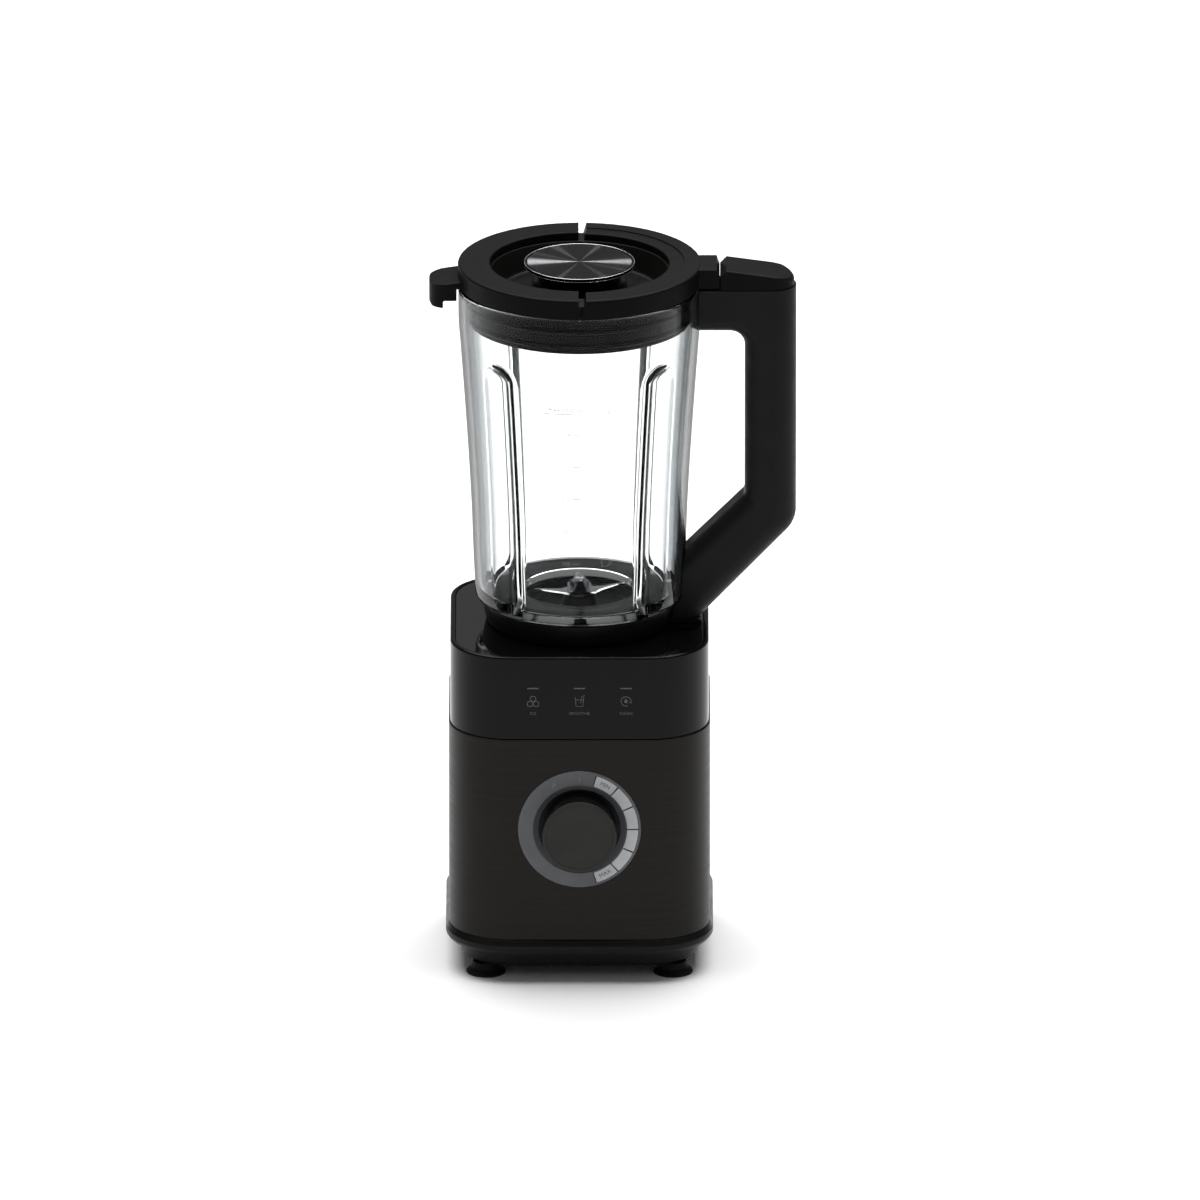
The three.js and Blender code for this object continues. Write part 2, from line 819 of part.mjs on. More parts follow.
function upperBracket() {
  const low = MOTOR.upperBracketBottom;
  const high = MOTOR.upperBracketTop;
  const shaftHole = rod(MOTOR.bracketBore, low - OVERSHOOT, high + OVERSHOOT);
  const pocketBottom = high - MOTOR.bearingHeight - GAP;
  const pocket = rod(MOTOR.bearingRadius + GAP, pocketBottom, high + OVERSHOOT, 0, 0, ROUND_STEPS);
  return motorBracket(low, high, high - MOTOR.bracketPlate).subtract(shaftHole).subtract(pocket);
}

function bearing(low) {
  return ring(MOTOR.shaftRadius + GAP, MOTOR.bearingRadius, low, low + MOTOR.bearingHeight, ROUND_STEPS);
}

function brushHolder(side) {
  const xs = [side * MOTOR.brushInner, side * MOTOR.brushOuter];
  const half = MOTOR.brushWidth / 2;
  return block(Math.min(...xs), Math.max(...xs), -half, half, MOTOR.brushBottom, MOTOR.brushTop);
}

function motorMount(side) {
  const low = MOTOR.upperBracketTop + GAP;
  return ring(MOTOR.mountBore, MOTOR.mountRadius, low, low + MOTOR.mountHeight, SMALL_STEPS)
    .translate([side * MOTOR.mountX, 0, 0]);
}

function motorShaft() {
  return rod(MOTOR.shaftRadius, MOTOR.shaftBottom, MOTOR.shaftTop, 0, 0, ROUND_STEPS);
}

function armature() {
  const bore = MOTOR.shaftRadius + GAP;
  let core = ring(bore, MOTOR.armatureRadius, MOTOR.stackBottom, MOTOR.stackTop, FINE_STEPS);
  for (let i = 0; i < MOTOR.armatureSlots; i += 1) {
    const slot = block(
      MOTOR.armatureRadius - MOTOR.armatureSlotDepth,
      MOTOR.armatureRadius + OVERSHOOT,
      -MOTOR.armatureSlotWidth / 2,
      MOTOR.armatureSlotWidth / 2,
      MOTOR.stackBottom - OVERSHOOT,
      MOTOR.stackTop + OVERSHOOT,
    );
    core = core.subtract(turnedAbout(slot, (360 / MOTOR.armatureSlots) * (i + 0.5)));
  }
  return core;
}

function commutator() {
  const bore = MOTOR.shaftRadius + GAP;
  return ring(bore, MOTOR.commutatorRadius, MOTOR.commutatorBottom, MOTOR.commutatorTop, ROUND_STEPS);
}

function coolingFan() {
  const bore = MOTOR.shaftRadius + GAP;
  const plateLow = MOTOR.fanTop - MOTOR.fanBackplate;
  let fan = ring(bore, MOTOR.fanRadius, plateLow, MOTOR.fanTop, FINE_STEPS);
  fan = fan.add(ring(bore, MOTOR.fanHub, MOTOR.fanBottom, MOTOR.fanTop, ROUND_STEPS));
  for (let i = 0; i < MOTOR.fanVanes; i += 1) {
    const half = MOTOR.fanVaneWidth / 2;
    const root = MOTOR.fanHub - WELD;
    const vane = block(root, MOTOR.fanVaneReach, -half, half, MOTOR.fanBottom, plateLow + WELD);
    fan = fan.add(turnedAbout(vane, (360 / MOTOR.fanVanes) * i));
  }
  return fan;
}

// A star with rounded lobes, its radius a wave round the axis.
function starShape(extra) {
  const points = [];
  for (let i = 0; i < COUPLING.starSteps; i += 1) {
    const angle = (2 * Math.PI * i) / COUPLING.starSteps;
    const radius = COUPLING.starMean + extra + COUPLING.starWave * Math.cos(COUPLING.starLobes * angle);
    points.push([radius * Math.cos(angle), radius * Math.sin(angle)]);
  }
  return polygon(points);
}

function driveCoupling() {
  const flange = rod(COUPLING.flangeRadius, COUPLING.flangeBottom, COUPLING.flangeTop, 0, 0, ROUND_STEPS);
  const star = upright(starShape(0), COUPLING.flangeTop - WELD, COUPLING.starTop);
  const boreBottom = COUPLING.flangeBottom - OVERSHOOT;
  const bore = rod(MOTOR.shaftRadius + GAP, boreBottom, MOTOR.shaftTop + GAP, 0, 0, ROUND_STEPS);
  return flange.add(star).subtract(bore);
}

// ---------------------------------------------------------------- jug and blades

// The jug's outer outline with the corner points moved out by margin, up to the given height.
function jugEnvelope(margin) {
  const side = JUG.outline.map(([radius, height]) => [radius + margin, height]);
  return turned([
    [0, COLLAR.bottom - OVERSHOOT],
    [COLLAR.upperRadius + margin, COLLAR.bottom - OVERSHOOT],
    [COLLAR.upperRadius + margin, COLLAR.top],
    ...side,
    [JUG.outline[JUG.outline.length - 1][0] + margin, JUG.rimTop + OVERSHOOT],
    [0, JUG.rimTop + OVERSHOOT],
  ], FINE_STEPS);
}

// A round-topped column that leans with the wall: the tool for one rib.
function ribColumn(radius, angle) {
  const rise = JUG.ribTop - JUG.ribBottom;
  const run = JUG.ribHighRadius - JUG.ribLowRadius;
  const length = Math.hypot(rise, run);
  const column = new THREE.CapsuleGeometry(radius, length, CURVE_STEPS, ROUND_STEPS / 2);
  column.rotateX(Math.PI / 2);
  column.rotateY(Math.atan2(run, rise));
  const centre = (JUG.ribLowRadius + JUG.ribHighRadius) / 2;
  column.translate(centre, 0, (JUG.ribTop + JUG.ribBottom) / 2);
  column.rotateZ(radians(angle));
  return toSolid(column);
}

function glassJug() {
  const outside = turned([[0, JUG.bottom], ...JUG.outline, [0, JUG.rimTop]], FINE_STEPS);
  const wallLine = JUG.outline
    .filter(([, height]) => height > JUG.floorTop)
    .map(([radius, height]) => [radius - JUG.wall, height]);
  const top = wallLine[wallLine.length - 1][0];
  const footRadius = JUG.outline[2][0] - JUG.wall;
  const cavity = turned([
    [0, JUG.floorTop],
    [footRadius - JUG.innerCorner, JUG.floorTop],
    [footRadius, JUG.floorTop + JUG.innerCorner],
    ...wallLine,
    [top, JUG.rimTop + OVERSHOOT],
    [0, JUG.rimTop + OVERSHOOT],
  ], FINE_STEPS);
  const opening = rod(JUG.floorOpening, JUG.bottom - OVERSHOOT, JUG.floorTop + OVERSHOOT, 0, 0, FINE_STEPS);
  let skin = outside;
  let inside = cavity;
  for (let i = 0; i < JUG.ribs; i += 1) {
    const angle = JUG.ribFirstAngle + (360 / JUG.ribs) * i;
    skin = skin.subtract(ribColumn(JUG.ribOuterCut, angle));
    inside = inside.subtract(ribColumn(JUG.ribInnerBulge, angle));
  }
  return skin.subtract(inside).subtract(opening);
}

function jugGasket() {
  return ring(GASKET.inner, GASKET.outer, GASKET.bottom, GASKET.top, ROUND_STEPS);
}

function jugCollar() {
  let collar = turned([
    [COLLAR.skirtInner, COLLAR.bottom],
    [COLLAR.lowerRadius, COLLAR.bottom],
    [COLLAR.middleRadius, COLLAR.middleHeight],
    [COLLAR.upperRadius, COLLAR.top],
    [COLLAR.pocketRadius, COLLAR.top],
    [COLLAR.pocketRadius, COLLAR.ledgeTop],
    [COLLAR.ledgeInner, COLLAR.ledgeTop],
    [COLLAR.ledgeInner, COLLAR.ledgeBottom],
    [COLLAR.skirtInner, COLLAR.ledgeBottom],
  ], FINE_STEPS);
  const half = COLLAR.tabHalfWidth;
  const tab = block(COLLAR.tabRoot, COLLAR.tabOuter, -half, half, COLLAR.bottom, COLLAR.tabTop);
  collar = collar.add(tab);
  const low = COLLAR.bottom - OVERSHOOT;
  const shank = rod(HANDLE_SCREW.radius + GAP, low, COLLAR.tabTop + OVERSHOOT, HANDLE_SCREW.x, 0);
  const headTop = COLLAR.bottom + HANDLE_SCREW.headHeight + GAP;
  const head = rod(HANDLE_SCREW.headRadius + GAP, low, headTop, HANDLE_SCREW.x, 0);
  return collar.subtract(shank).subtract(head);
}

function bladeBase() {
  return turned([
    [BLADE_BASE.bushRadius + GAP, BLADE_BASE.bossBottom],
    [BLADE_BASE.bossRadius, BLADE_BASE.bossBottom],
    [BLADE_BASE.bossRadius, BLADE_BASE.cupFloorBottom],
    [BLADE_BASE.cupOuter, BLADE_BASE.cupFloorBottom],
    [BLADE_BASE.cupOuter, BLADE_BASE.flangeBottom],
    [BLADE_BASE.flangeRadius, BLADE_BASE.flangeBottom],
    [BLADE_BASE.flangeRadius, BLADE_BASE.flangeTop],
    [BLADE_BASE.mouthRadius, BLADE_BASE.flangeTop],
    [BLADE_BASE.cupInner, BLADE_BASE.cupFloorTop],
    [BLADE_BASE.bossRadius, BLADE_BASE.cupFloorTop],
    [BLADE_BASE.bossRadius - BLADE_BASE.bossDraft, BLADE_BASE.bossTop],
    [BLADE_BASE.bushRadius + GAP, BLADE_BASE.bossTop],
  ], ROUND_STEPS);
}

function bladeBush() {
  const bore = BLADE_UNIT.shaftRadius + GAP;
  return ring(bore, BLADE_BASE.bushRadius, BLADE_BASE.bossBottom, BLADE_BASE.bossTop, ROUND_STEPS);
}

function bladeShaft() {
  return rod(BLADE_UNIT.shaftRadius, BLADE_UNIT.shaftBottom, BLADE_UNIT.shaftTop);
}

// Two bent arms cut from one sheet: the side outline crossed with the tapered plan. Each arm has its own rise.
function blade(height, reach, rise, farRise, yaw) {
  const { sheet, flatHalf, rootHalfWidth, tipHalfWidth, shaftRadius } = BLADE_UNIT;
  const side = polygon([
    [-reach, height + rise],
    [-flatHalf, height],
    [flatHalf, height],
    [reach, height + farRise],
    [reach, height + farRise + sheet],
    [flatHalf, height + sheet],
    [-flatHalf, height + sheet],
    [-reach, height + rise + sheet],
  ]);
  const plan = polygon([
    [-reach, -tipHalfWidth],
    [-flatHalf, -rootHalfWidth],
    [flatHalf, -rootHalfWidth],
    [reach, -tipHalfWidth],
    [reach, tipHalfWidth],
    [flatHalf, rootHalfWidth],
    [-flatHalf, rootHalfWidth],
    [-reach, tipHalfWidth],
  ]);
  const tapered = upright(plan, height - OVERSHOOT, height + rise + sheet + OVERSHOOT);
  const bent = sideProfile(side, rootHalfWidth + OVERSHOOT).intersect(tapered);
  const hole = rod(shaftRadius + GAP, height - OVERSHOOT, height + sheet + OVERSHOOT);
  return turnedAbout(bent.subtract(hole), yaw);
}

function upperBlade() {
  const { upperHeight, upperReach, upperRise, upperRearRise, upperYaw } = BLADE_UNIT;
  return blade(upperHeight, upperReach, upperRise, upperRearRise, upperYaw);
}

function lowerBlade() {
  const { lowerHeight, lowerReach, lowerRise, lowerYaw } = BLADE_UNIT;
  return blade(lowerHeight, lowerReach, lowerRise, lowerRise, lowerYaw);
}

function bladeNut() {
  const low = BLADE_UNIT.upperHeight + BLADE_UNIT.sheet + GAP;
  const hex = rod(BLADE_UNIT.nutRadius, low, BLADE_UNIT.nutTop, 0, 0, 6);
  const bore = BLADE_UNIT.shaftRadius + GAP;
  return hex.subtract(rod(bore, low - OVERSHOOT, BLADE_UNIT.nutTop + OVERSHOOT));
}

function drivenCoupling() {
  const cup = rod(COUPLING.socketOuter, COUPLING.socketBottom, COUPLING.socketHubTop, 0, 0, ROUND_STEPS);
  const socket = upright(starShape(COUPLING.play), COUPLING.socketBottom - OVERSHOOT, COUPLING.socketTop);
  const bore = rod(
    BLADE_UNIT.shaftRadius + GAP,
    COUPLING.socketBottom,
    COUPLING.socketHubTop + OVERSHOOT,
  );
  return cup.subtract(socket).subtract(bore);
}

// ---------------------------------------------------------------- handle

function handleOutline() {
  const {
    rootX, footBottom, footX, outer, outerCornerZ, outerCornerRadius, top, blockBottom,
    gripInner, innerCornerRadius, innerCornerHeight, diagonalJugX, diagonalJugZ,
  } = HANDLE;
  const slope = Math.atan2(outerCornerZ - footBottom, outer - footX);
  const setback = outerCornerRadius * Math.tan((Math.PI / 2 - slope) / 2);
  const shape = new THREE.Shape();
  shape.moveTo(rootX, footBottom);
  shape.lineTo(footX, footBottom);
  shape.lineTo(outer - setback * Math.cos(slope), outerCornerZ - setback * Math.sin(slope));
  shape.quadraticCurveTo(outer, outerCornerZ, outer, outerCornerZ + setback);
  shape.lineTo(outer, top);
  shape.lineTo(rootX, top);
  shape.lineTo(rootX, blockBottom);
  shape.lineTo(gripInner - innerCornerRadius, blockBottom);
  const cornerZ = blockBottom - innerCornerRadius;
  shape.absarc(gripInner - innerCornerRadius, cornerZ, innerCornerRadius, Math.PI / 2, 0, true);
  shape.lineTo(gripInner, innerCornerHeight);
  shape.lineTo(rootX, diagonalJugZ - (diagonalJugX - rootX));
  return shape;
}

// A plan outline with the far end rounded: it takes the sharp edges off the grip.
function roundEndedPlan(left, right, halfWidth, endRadius) {
  const shape = new THREE.Shape();
  shape.moveTo(left, -halfWidth);
  shape.lineTo(right - endRadius, -halfWidth);
  shape.absarc(right - endRadius, -halfWidth + endRadius, endRadius, -Math.PI / 2, 0, false);
  shape.absarc(right - endRadius, halfWidth - endRadius, endRadius, 0, Math.PI / 2, false);
  shape.lineTo(left, halfWidth);
  return shape;
}

function handleBody() {
  const { rootX, outer, halfWidth, endRadius, footBottom, top, clearance } = HANDLE;
  const plan = roundEndedPlan(rootX, outer, halfWidth, endRadius);
  const column = upright(plan, footBottom - OVERSHOOT, top + OVERSHOOT);
  const solid = sideProfile(handleOutline(), halfWidth).intersect(column);
  const screwTop = HANDLE_SCREW.top + GAP;
  const screwHole = rod(HANDLE_SCREW.radius + GAP, footBottom - OVERSHOOT, screwTop, HANDLE_SCREW.x, 0);
  return solid.subtract(jugEnvelope(clearance)).subtract(screwHole);
}

function handleScrew() {
  const low = COLLAR.bottom;
  const headTop = low + HANDLE_SCREW.headHeight;
  return turned([
    [0, low],
    [HANDLE_SCREW.headRadius, low],
    [HANDLE_SCREW.headRadius, headTop],
    [HANDLE_SCREW.radius, headTop],
    [HANDLE_SCREW.radius, HANDLE_SCREW.top],
    [0, HANDLE_SCREW.top],
  ], SMALL_STEPS).translate([HANDLE_SCREW.x, 0, 0]);
}

function handleTopCap() {
  const { left, lipTop, crestX, crestTop, kneeX, kneeTop, right, endTop, bottom } = HANDLE_CAP;
  const side = polygon([
    [left, bottom],
    [right, bottom],
    [right, endTop],
    [kneeX, kneeTop],
    [crestX, crestTop],
    [left, lipTop],
  ]);
  const plan = roundEndedPlan(left, right, HANDLE_CAP.halfWidth, HANDLE_CAP.endRadius);
  const column = upright(plan, bottom - OVERSHOOT, crestTop + OVERSHOOT);
  return sideProfile(side, HANDLE_CAP.halfWidth).intersect(column);
}

// ---------------------------------------------------------------- lid and measuring cap

function lidBody() {
  return turned([
    [LID.socketInner, LID.socketBottom],
    [LID.socketOuter, LID.socketBottom],
    [LID.socketOuter, LID.wellFloorBottom],
    [LID.plugInner, LID.wellFloorBottom],
    [LID.plugInner, LID.plugBottom],
    [LID.grooveRadius, LID.plugBottom],
    [LID.grooveRadius, LID.lipHigh + LID.lipHeight + GAP],
    [LID.plugRadius, LID.lipHigh + LID.lipHeight + GAP],
    [LID.plugRadius, LID.bottom],
    [LID.flangeRadius, LID.bottom],
    [LID.flangeRadius, LID.flangeTop],
    [LID.wellRim, LID.flangeTop],
    [LID.wellFloorRadius, LID.wellFloor],
    [LID.socketOuter, LID.wellFloor],
    [LID.socketOuter, LID.socketTop],
    [LID.socketInner, LID.socketTop],
  ], FINE_STEPS);
}

// A sleeve round the plug with two sealing lips.
function lidGasket() {
  const inner = LID.grooveRadius + GAP;
  const sleeve = inner + LID.gasketWall;
  const bottom = LID.lipLow - LID.gasketSkirt;
  return turned([
    [inner, bottom],
    [sleeve, bottom],
    [LID.lipOuter, LID.lipLow],
    [LID.lipOuter, LID.lipLow + LID.lipHeight],
    [sleeve, LID.lipLow + LID.lipHeight],
    [sleeve, LID.lipHigh],
    [LID.lipOuter, LID.lipHigh],
    [LID.lipOuter, LID.lipHigh + LID.lipHeight],
    [inner, LID.lipHigh + LID.lipHeight],
  ], FINE_STEPS);
}

// The cover ring over the lid's flange, before it is split into its two halves.
function coverRing() {
  const coverBottom = LID.top - LID.coverThickness;
  const wallInner = LID.outer - LID.coverWall;
  return turned([
    [wallInner, LID.bottom],
    [LID.outer, LID.bottom],
    [LID.outer, LID.top - LID.edge],
    [LID.outer - LID.edge, LID.top],
    [LID.ringInner, LID.top],
    [LID.ringInner, coverBottom],
    [wallInner, coverBottom],
  ], FINE_STEPS);
}

function halfSpace(x0, x1) {
  const reach = LID.outer * 2;
  return block(x0, x1, -reach, reach, 0, LID.top * 2);
}

function beak() {
  const { tipX, rootTop, tipTop, tipBottom, hookBottom, hookBack, hookDraft } = BEAK;
  const { notchTop, notchBack, halfWidth, tipRadius } = BEAK;
  const rootX = -(LID.outer - LID.coverWall / 2);
  const side = polygon([
    [tipX, tipBottom],
    [tipX + hookDraft, hookBottom],
    [hookBack, hookBottom],
    [hookBack, notchTop],
    [notchBack, notchTop],
    [notchBack, LID.bottom],
    [rootX, LID.bottom],
    [rootX, rootTop],
    [tipX, tipTop],
  ]);
  const plan = roundEndedPlan(-rootX - OVERSHOOT, -tipX, halfWidth, tipRadius);
  const column = turnedAbout(upright(plan, hookBottom - OVERSHOOT, rootTop + OVERSHOOT), 180);
  return sideProfile(side, halfWidth).intersect(column);
}

function lidSpoutRing() {
  const half = coverRing().intersect(halfSpace(-LID.outer * 2, LID.slitLeft));
  return half.add(beak());
}

function lidTab() {
  const rootX = LID.outer - LID.coverWall / 2;
  const side = polygon([
    [rootX, LID.bottom],
    [TAB.shoulderX, TAB.bottom],
    [TAB.tongueX, TAB.bottom],
    [TAB.tongueX, TAB.tongueTop],
    [TAB.crestX, TAB.top],
    [rootX, TAB.top],
  ]);
  return sideProfile(side, TAB.halfWidth);
}

function lidTabRing() {
  const step = ring(
    LID.ringInner - OVERSHOOT,
    LID.stepRadius,
    LID.top - LID.stepDepth,
    LID.top + OVERSHOOT,
    FINE_STEPS,
  );
  const half = coverRing().subtract(step).intersect(halfSpace(LID.slitRight, LID.outer * 2));
  return half.add(lidTab());
}

function measuringCap() {
  const discBottom = CAP.discTop - CAP.discThickness;
  const insetFloor = CAP.discTop - CAP.insertRecess;
  return turned([
    [0, insetFloor],
    [CAP.discRadius - CAP.rimWidth, insetFloor],
    [CAP.discRadius - CAP.rimWidth, CAP.discTop],
    [CAP.discRadius, CAP.discTop],
    [CAP.discRadius, discBottom],
    [CAP.neckRadius, discBottom],
    [CAP.neckRadius, CAP.shoulderTop],
    [CAP.shoulderRadius, CAP.shoulderTop],
    [CAP.shoulderRadius, CAP.shoulderBottom],
    [CAP.neckRadius, CAP.shoulderBottom],
    [CAP.neckRadius, CAP.neckBottom],
    [CAP.neckInner, CAP.neckBottom],
    [CAP.neckInner, CAP.neckRoof],
    [0, CAP.neckRoof],
  ].reverse(), FINE_STEPS);
}

function capDisc() {
  const low = CAP.discTop - CAP.insertRecess + GAP;
  const radius = CAP.discRadius - CAP.rimWidth - GAP;
  return rod(radius, low, low + CAP.insertThickness, 0, 0, FINE_STEPS);
}

// ---------------------------------------------------------------- assembly

function addPiece(parent, name, solid, color, roughness, metalness = 0) {
  const material = new THREE.MeshStandardMaterial({ color, roughness, metalness });
  const mesh = new THREE.Mesh(toGeometry(solid), material);
  mesh.name = name;
  parent.add(mesh);
  return mesh;
}

function buildBase(parent) {
  const corners = { front_left: [-1, -1], front_right: [1, -1], rear_left: [-1, 1], rear_right: [1, 1] };
  for (const [corner, [side, end]] of Object.entries(corners)) {
    addPiece(parent, `foot_${corner}`, foot(side * FOOT.x, end * FOOT.y), COLORS.rubber, 0.55);
    const screw = trayScrew(side * BOSS.x, end * BOSS.y);
    addPiece(parent, `tray_screw_${corner}`, screw, COLORS.steel, 0.35, 1);
  }
  addPiece(parent, 'bottom_tray', bottomTray(), COLORS.blackPlastic, 0.45);
  addPiece(parent, 'body_shell', bodyShell(), COLORS.blackMetal, 0.35, 1);
  addPiece(parent, 'control_housing', controlHousing(), COLORS.glossBlack, 0.2);
  addPiece(parent, 'top_plate', topPlate(), COLORS.glossBlack, 0.05);
  addPiece(parent, 'drive_seat', driveSeat(), COLORS.blackPlastic, 0.4);
  addPiece(parent, 'rotary_switch', rotarySwitch(), COLORS.blackPlastic, 0.5);
  addPiece(parent, 'control_board', controlBoard(), COLORS.board, 0.5);
  addPiece(parent, 'touch_board', touchBoard(), COLORS.board, 0.5);
  addPiece(parent, 'interlock_switch', interlockSwitch(), COLORS.blackPlastic, 0.5);
  addPiece(parent, 'interlock_pin', interlockPin(), COLORS.blackPlastic, 0.4);
}

function buildDial(parent) {
  const front = new THREE.Group();
  front.position.set(0, -BODY.halfDepth, DIAL.height);
  front.rotation.x = Math.PI / 2;
  addPiece(front, 'dial_ring', dialRing(), COLORS.dialGrey, 0.4);
  addPiece(front, 'speed_scale', speedScale(), COLORS.scaleGrey, 0.35);
  addPiece(front, 'control_knob', controlKnob(), COLORS.blackPlastic, 0.35);
  addPiece(front, 'knob_shaft', knobShaft(), COLORS.steel, 0.35, 1);
  parent.add(front);
}

function buildGland(parent) {
  const rear = new THREE.Group();
  rear.position.set(0, BODY.halfDepth, GLAND.height);
  rear.rotation.x = -Math.PI / 2;
  addPiece(rear, 'cord_gland', cordGland(), COLORS.rubber, 0.6);
  parent.add(rear);
}

function buildMotor(parent) {
  addPiece(parent, 'lower_motor_bracket', lowerBracket(), COLORS.steel, 0.5, 1);
  addPiece(parent, 'upper_motor_bracket', upperBracket(), COLORS.steel, 0.5, 1);
  addPiece(parent, 'lower_bearing', bearing(MOTOR.lowerBracketBottom), COLORS.steel, 0.3, 1);
  const upperBearingBottom = MOTOR.upperBracketTop - MOTOR.bearingHeight;
  addPiece(parent, 'upper_bearing', bearing(upperBearingBottom), COLORS.steel, 0.3, 1);
  addPiece(parent, 'stator_core', statorCore(), COLORS.steel, 0.5, 1);
  for (const [name, side] of [['left', -1], ['right', 1]]) {
    addPiece(parent, `field_coil_${name}`, fieldCoil(side), COLORS.copper, 0.4, 1);
    addPiece(parent, `brush_holder_${name}`, brushHolder(side), COLORS.brass, 0.4, 1);
    addPiece(parent, `motor_mount_${name}`, motorMount(side), COLORS.rubber, 0.7);
  }
  addPiece(parent, 'motor_shaft', motorShaft(), COLORS.steel, 0.25, 1);
  addPiece(parent, 'armature', armature(), COLORS.steel, 0.5, 1);
  addPiece(parent, 'commutator', commutator(), COLORS.copper, 0.3, 1);
  addPiece(parent, 'cooling_fan', coolingFan(), COLORS.blackPlastic, 0.5);
  addPiece(parent, 'drive_coupling', driveCoupling(), COLORS.steel, 0.35, 1);
}

function buildJug(parent) {
  addPiece(parent, 'glass_jug', glassJug(), COLORS.glass, 0.03);
  addPiece(parent, 'jug_gasket', jugGasket(), COLORS.rubber, 0.6);
  addPiece(parent, 'jug_collar', jugCollar(), COLORS.blackPlastic, 0.4);
  addPiece(parent, 'blade_base', bladeBase(), COLORS.blackPlastic, 0.4);
  addPiece(parent, 'blade_bush', bladeBush(), COLORS.brass, 0.4, 1);
  addPiece(parent, 'handle_body', handleBody(), COLORS.softBlack, 0.45);
  addPiece(parent, 'handle_top_cap', handleTopCap(), COLORS.softBlack, 0.45);
  addPiece(parent, 'handle_screw', handleScrew(), COLORS.steel, 0.35, 1);
}

function buildBlades(parent) {
  addPiece(parent, 'blade_shaft', bladeShaft(), COLORS.steel, 0.25, 1);
  addPiece(parent, 'upper_blade', upperBlade(), COLORS.steel, 0.22, 1);
  addPiece(parent, 'lower_blade', lowerBlade(), COLORS.steel, 0.22, 1);
  addPiece(parent, 'blade_nut', bladeNut(), COLORS.steel, 0.25, 1);
  addPiece(parent, 'driven_coupling', drivenCoupling(), COLORS.blackPlastic, 0.4);
}

function buildLid(parent) {
  addPiece(parent, 'lid_body', lidBody(), COLORS.blackPlastic, 0.4);
  addPiece(parent, 'lid_gasket', lidGasket(), COLORS.rubber, 0.6);
  addPiece(parent, 'lid_spout_ring', lidSpoutRing(), COLORS.softBlack, 0.42);
  addPiece(parent, 'lid_tab_ring', lidTabRing(), COLORS.softBlack, 0.42);
  addPiece(parent, 'measuring_cap', measuringCap(), COLORS.blackPlastic, 0.35);
  addPiece(parent, 'cap_disc', capDisc(), COLORS.steel, 0.3, 1);
}

// The origin goes on the floor under the centre of the whole object's box.
const leftmost = BEAK.tipX;
const rightmost = HANDLE.outer;
const frontmost = -BODY.halfDepth - KNOB.proud;
const rearmost = BODY.halfDepth + GLAND.flangeProud;
const driveAxis = new THREE.Group();
driveAxis.position.set(-(leftmost + rightmost) / 2, -(frontmost + rearmost) / 2, 0);
buildBase(driveAxis);
buildDial(driveAxis);
buildGland(driveAxis);
buildMotor(driveAxis);
buildJug(driveAxis);
buildBlades(driveAxis);
buildLid(driveAxis);

const group = new THREE.Group();
group.add(driveAxis);

export default group;
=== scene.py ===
"""The fine surfaces, finishes and studio of a countertop blender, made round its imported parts."""

import logging
import math
from collections.abc import Callable, Sequence
from dataclasses import dataclass
from enum import Enum

import bmesh
import bpy
from mathutils import Matrix, Vector


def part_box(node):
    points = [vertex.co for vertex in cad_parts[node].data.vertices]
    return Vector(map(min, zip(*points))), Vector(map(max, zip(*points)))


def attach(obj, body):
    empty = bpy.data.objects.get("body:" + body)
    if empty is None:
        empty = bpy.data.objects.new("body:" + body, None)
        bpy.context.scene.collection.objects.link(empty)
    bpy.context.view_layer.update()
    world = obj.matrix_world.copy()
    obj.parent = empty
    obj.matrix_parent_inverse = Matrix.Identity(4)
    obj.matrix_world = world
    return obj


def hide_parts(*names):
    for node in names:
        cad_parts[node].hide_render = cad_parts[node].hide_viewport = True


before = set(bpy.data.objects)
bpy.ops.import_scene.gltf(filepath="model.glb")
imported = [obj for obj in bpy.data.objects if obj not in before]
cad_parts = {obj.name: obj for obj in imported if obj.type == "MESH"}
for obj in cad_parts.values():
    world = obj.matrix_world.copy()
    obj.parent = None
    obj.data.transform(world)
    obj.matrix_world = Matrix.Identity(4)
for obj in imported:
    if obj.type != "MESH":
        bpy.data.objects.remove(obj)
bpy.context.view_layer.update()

LOG = logging.getLogger("blender_scene")
MM = 0.001
MERGE_DISTANCE = 1e-6
SHARP_ANGLE = math.radians(32)
DRIVE_AXIS = Vector((*((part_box("motor_shaft")[0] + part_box("motor_shaft")[1]) / 2).xy, 0.0))

Point = tuple[float, float]
Socket = bpy.types.NodeSocket
Corner = Sequence[float]


class Body(Enum):
    """The bodies that move as one."""

    BASE = "base_unit"
    KNOB = "dial_knob"
    ROTOR = "motor_rotor"
    PLUNGER = "interlock_plunger"
    JUG = "jug_assembly"
    BLADES = "blade_assembly"
    LID = "lid_assembly"
    CAP = "cap_assembly"


class Slot(Enum):
    """The record's material slots."""

    BLACK_PLASTIC = "black_plastic"
    SOFT_BLACK = "soft_black"
    GLOSS_BLACK = "gloss_black"
    KNOB_BLACK = "knob_black"
    BLACK_METAL = "black_metal"
    DIAL_GREY = "dial_grey"
    SCALE_GREY = "scale_grey"
    STEEL = "steel"
    COPPER = "copper"
    RUBBER = "black_rubber"
    GLASS = "clear_glass"
    TURNED_METAL = "turned_metal"


class Layout(Enum):
    """How copies of one shape are set out."""

    AROUND = "around"
    ROW = "row"
    GRID = "grid"


class Join(Enum):
    """What a tool does to the piece it meets."""

    CUT = "DIFFERENCE"
    ADD = "UNION"
    TRIM = "INTERSECT"


# --- places


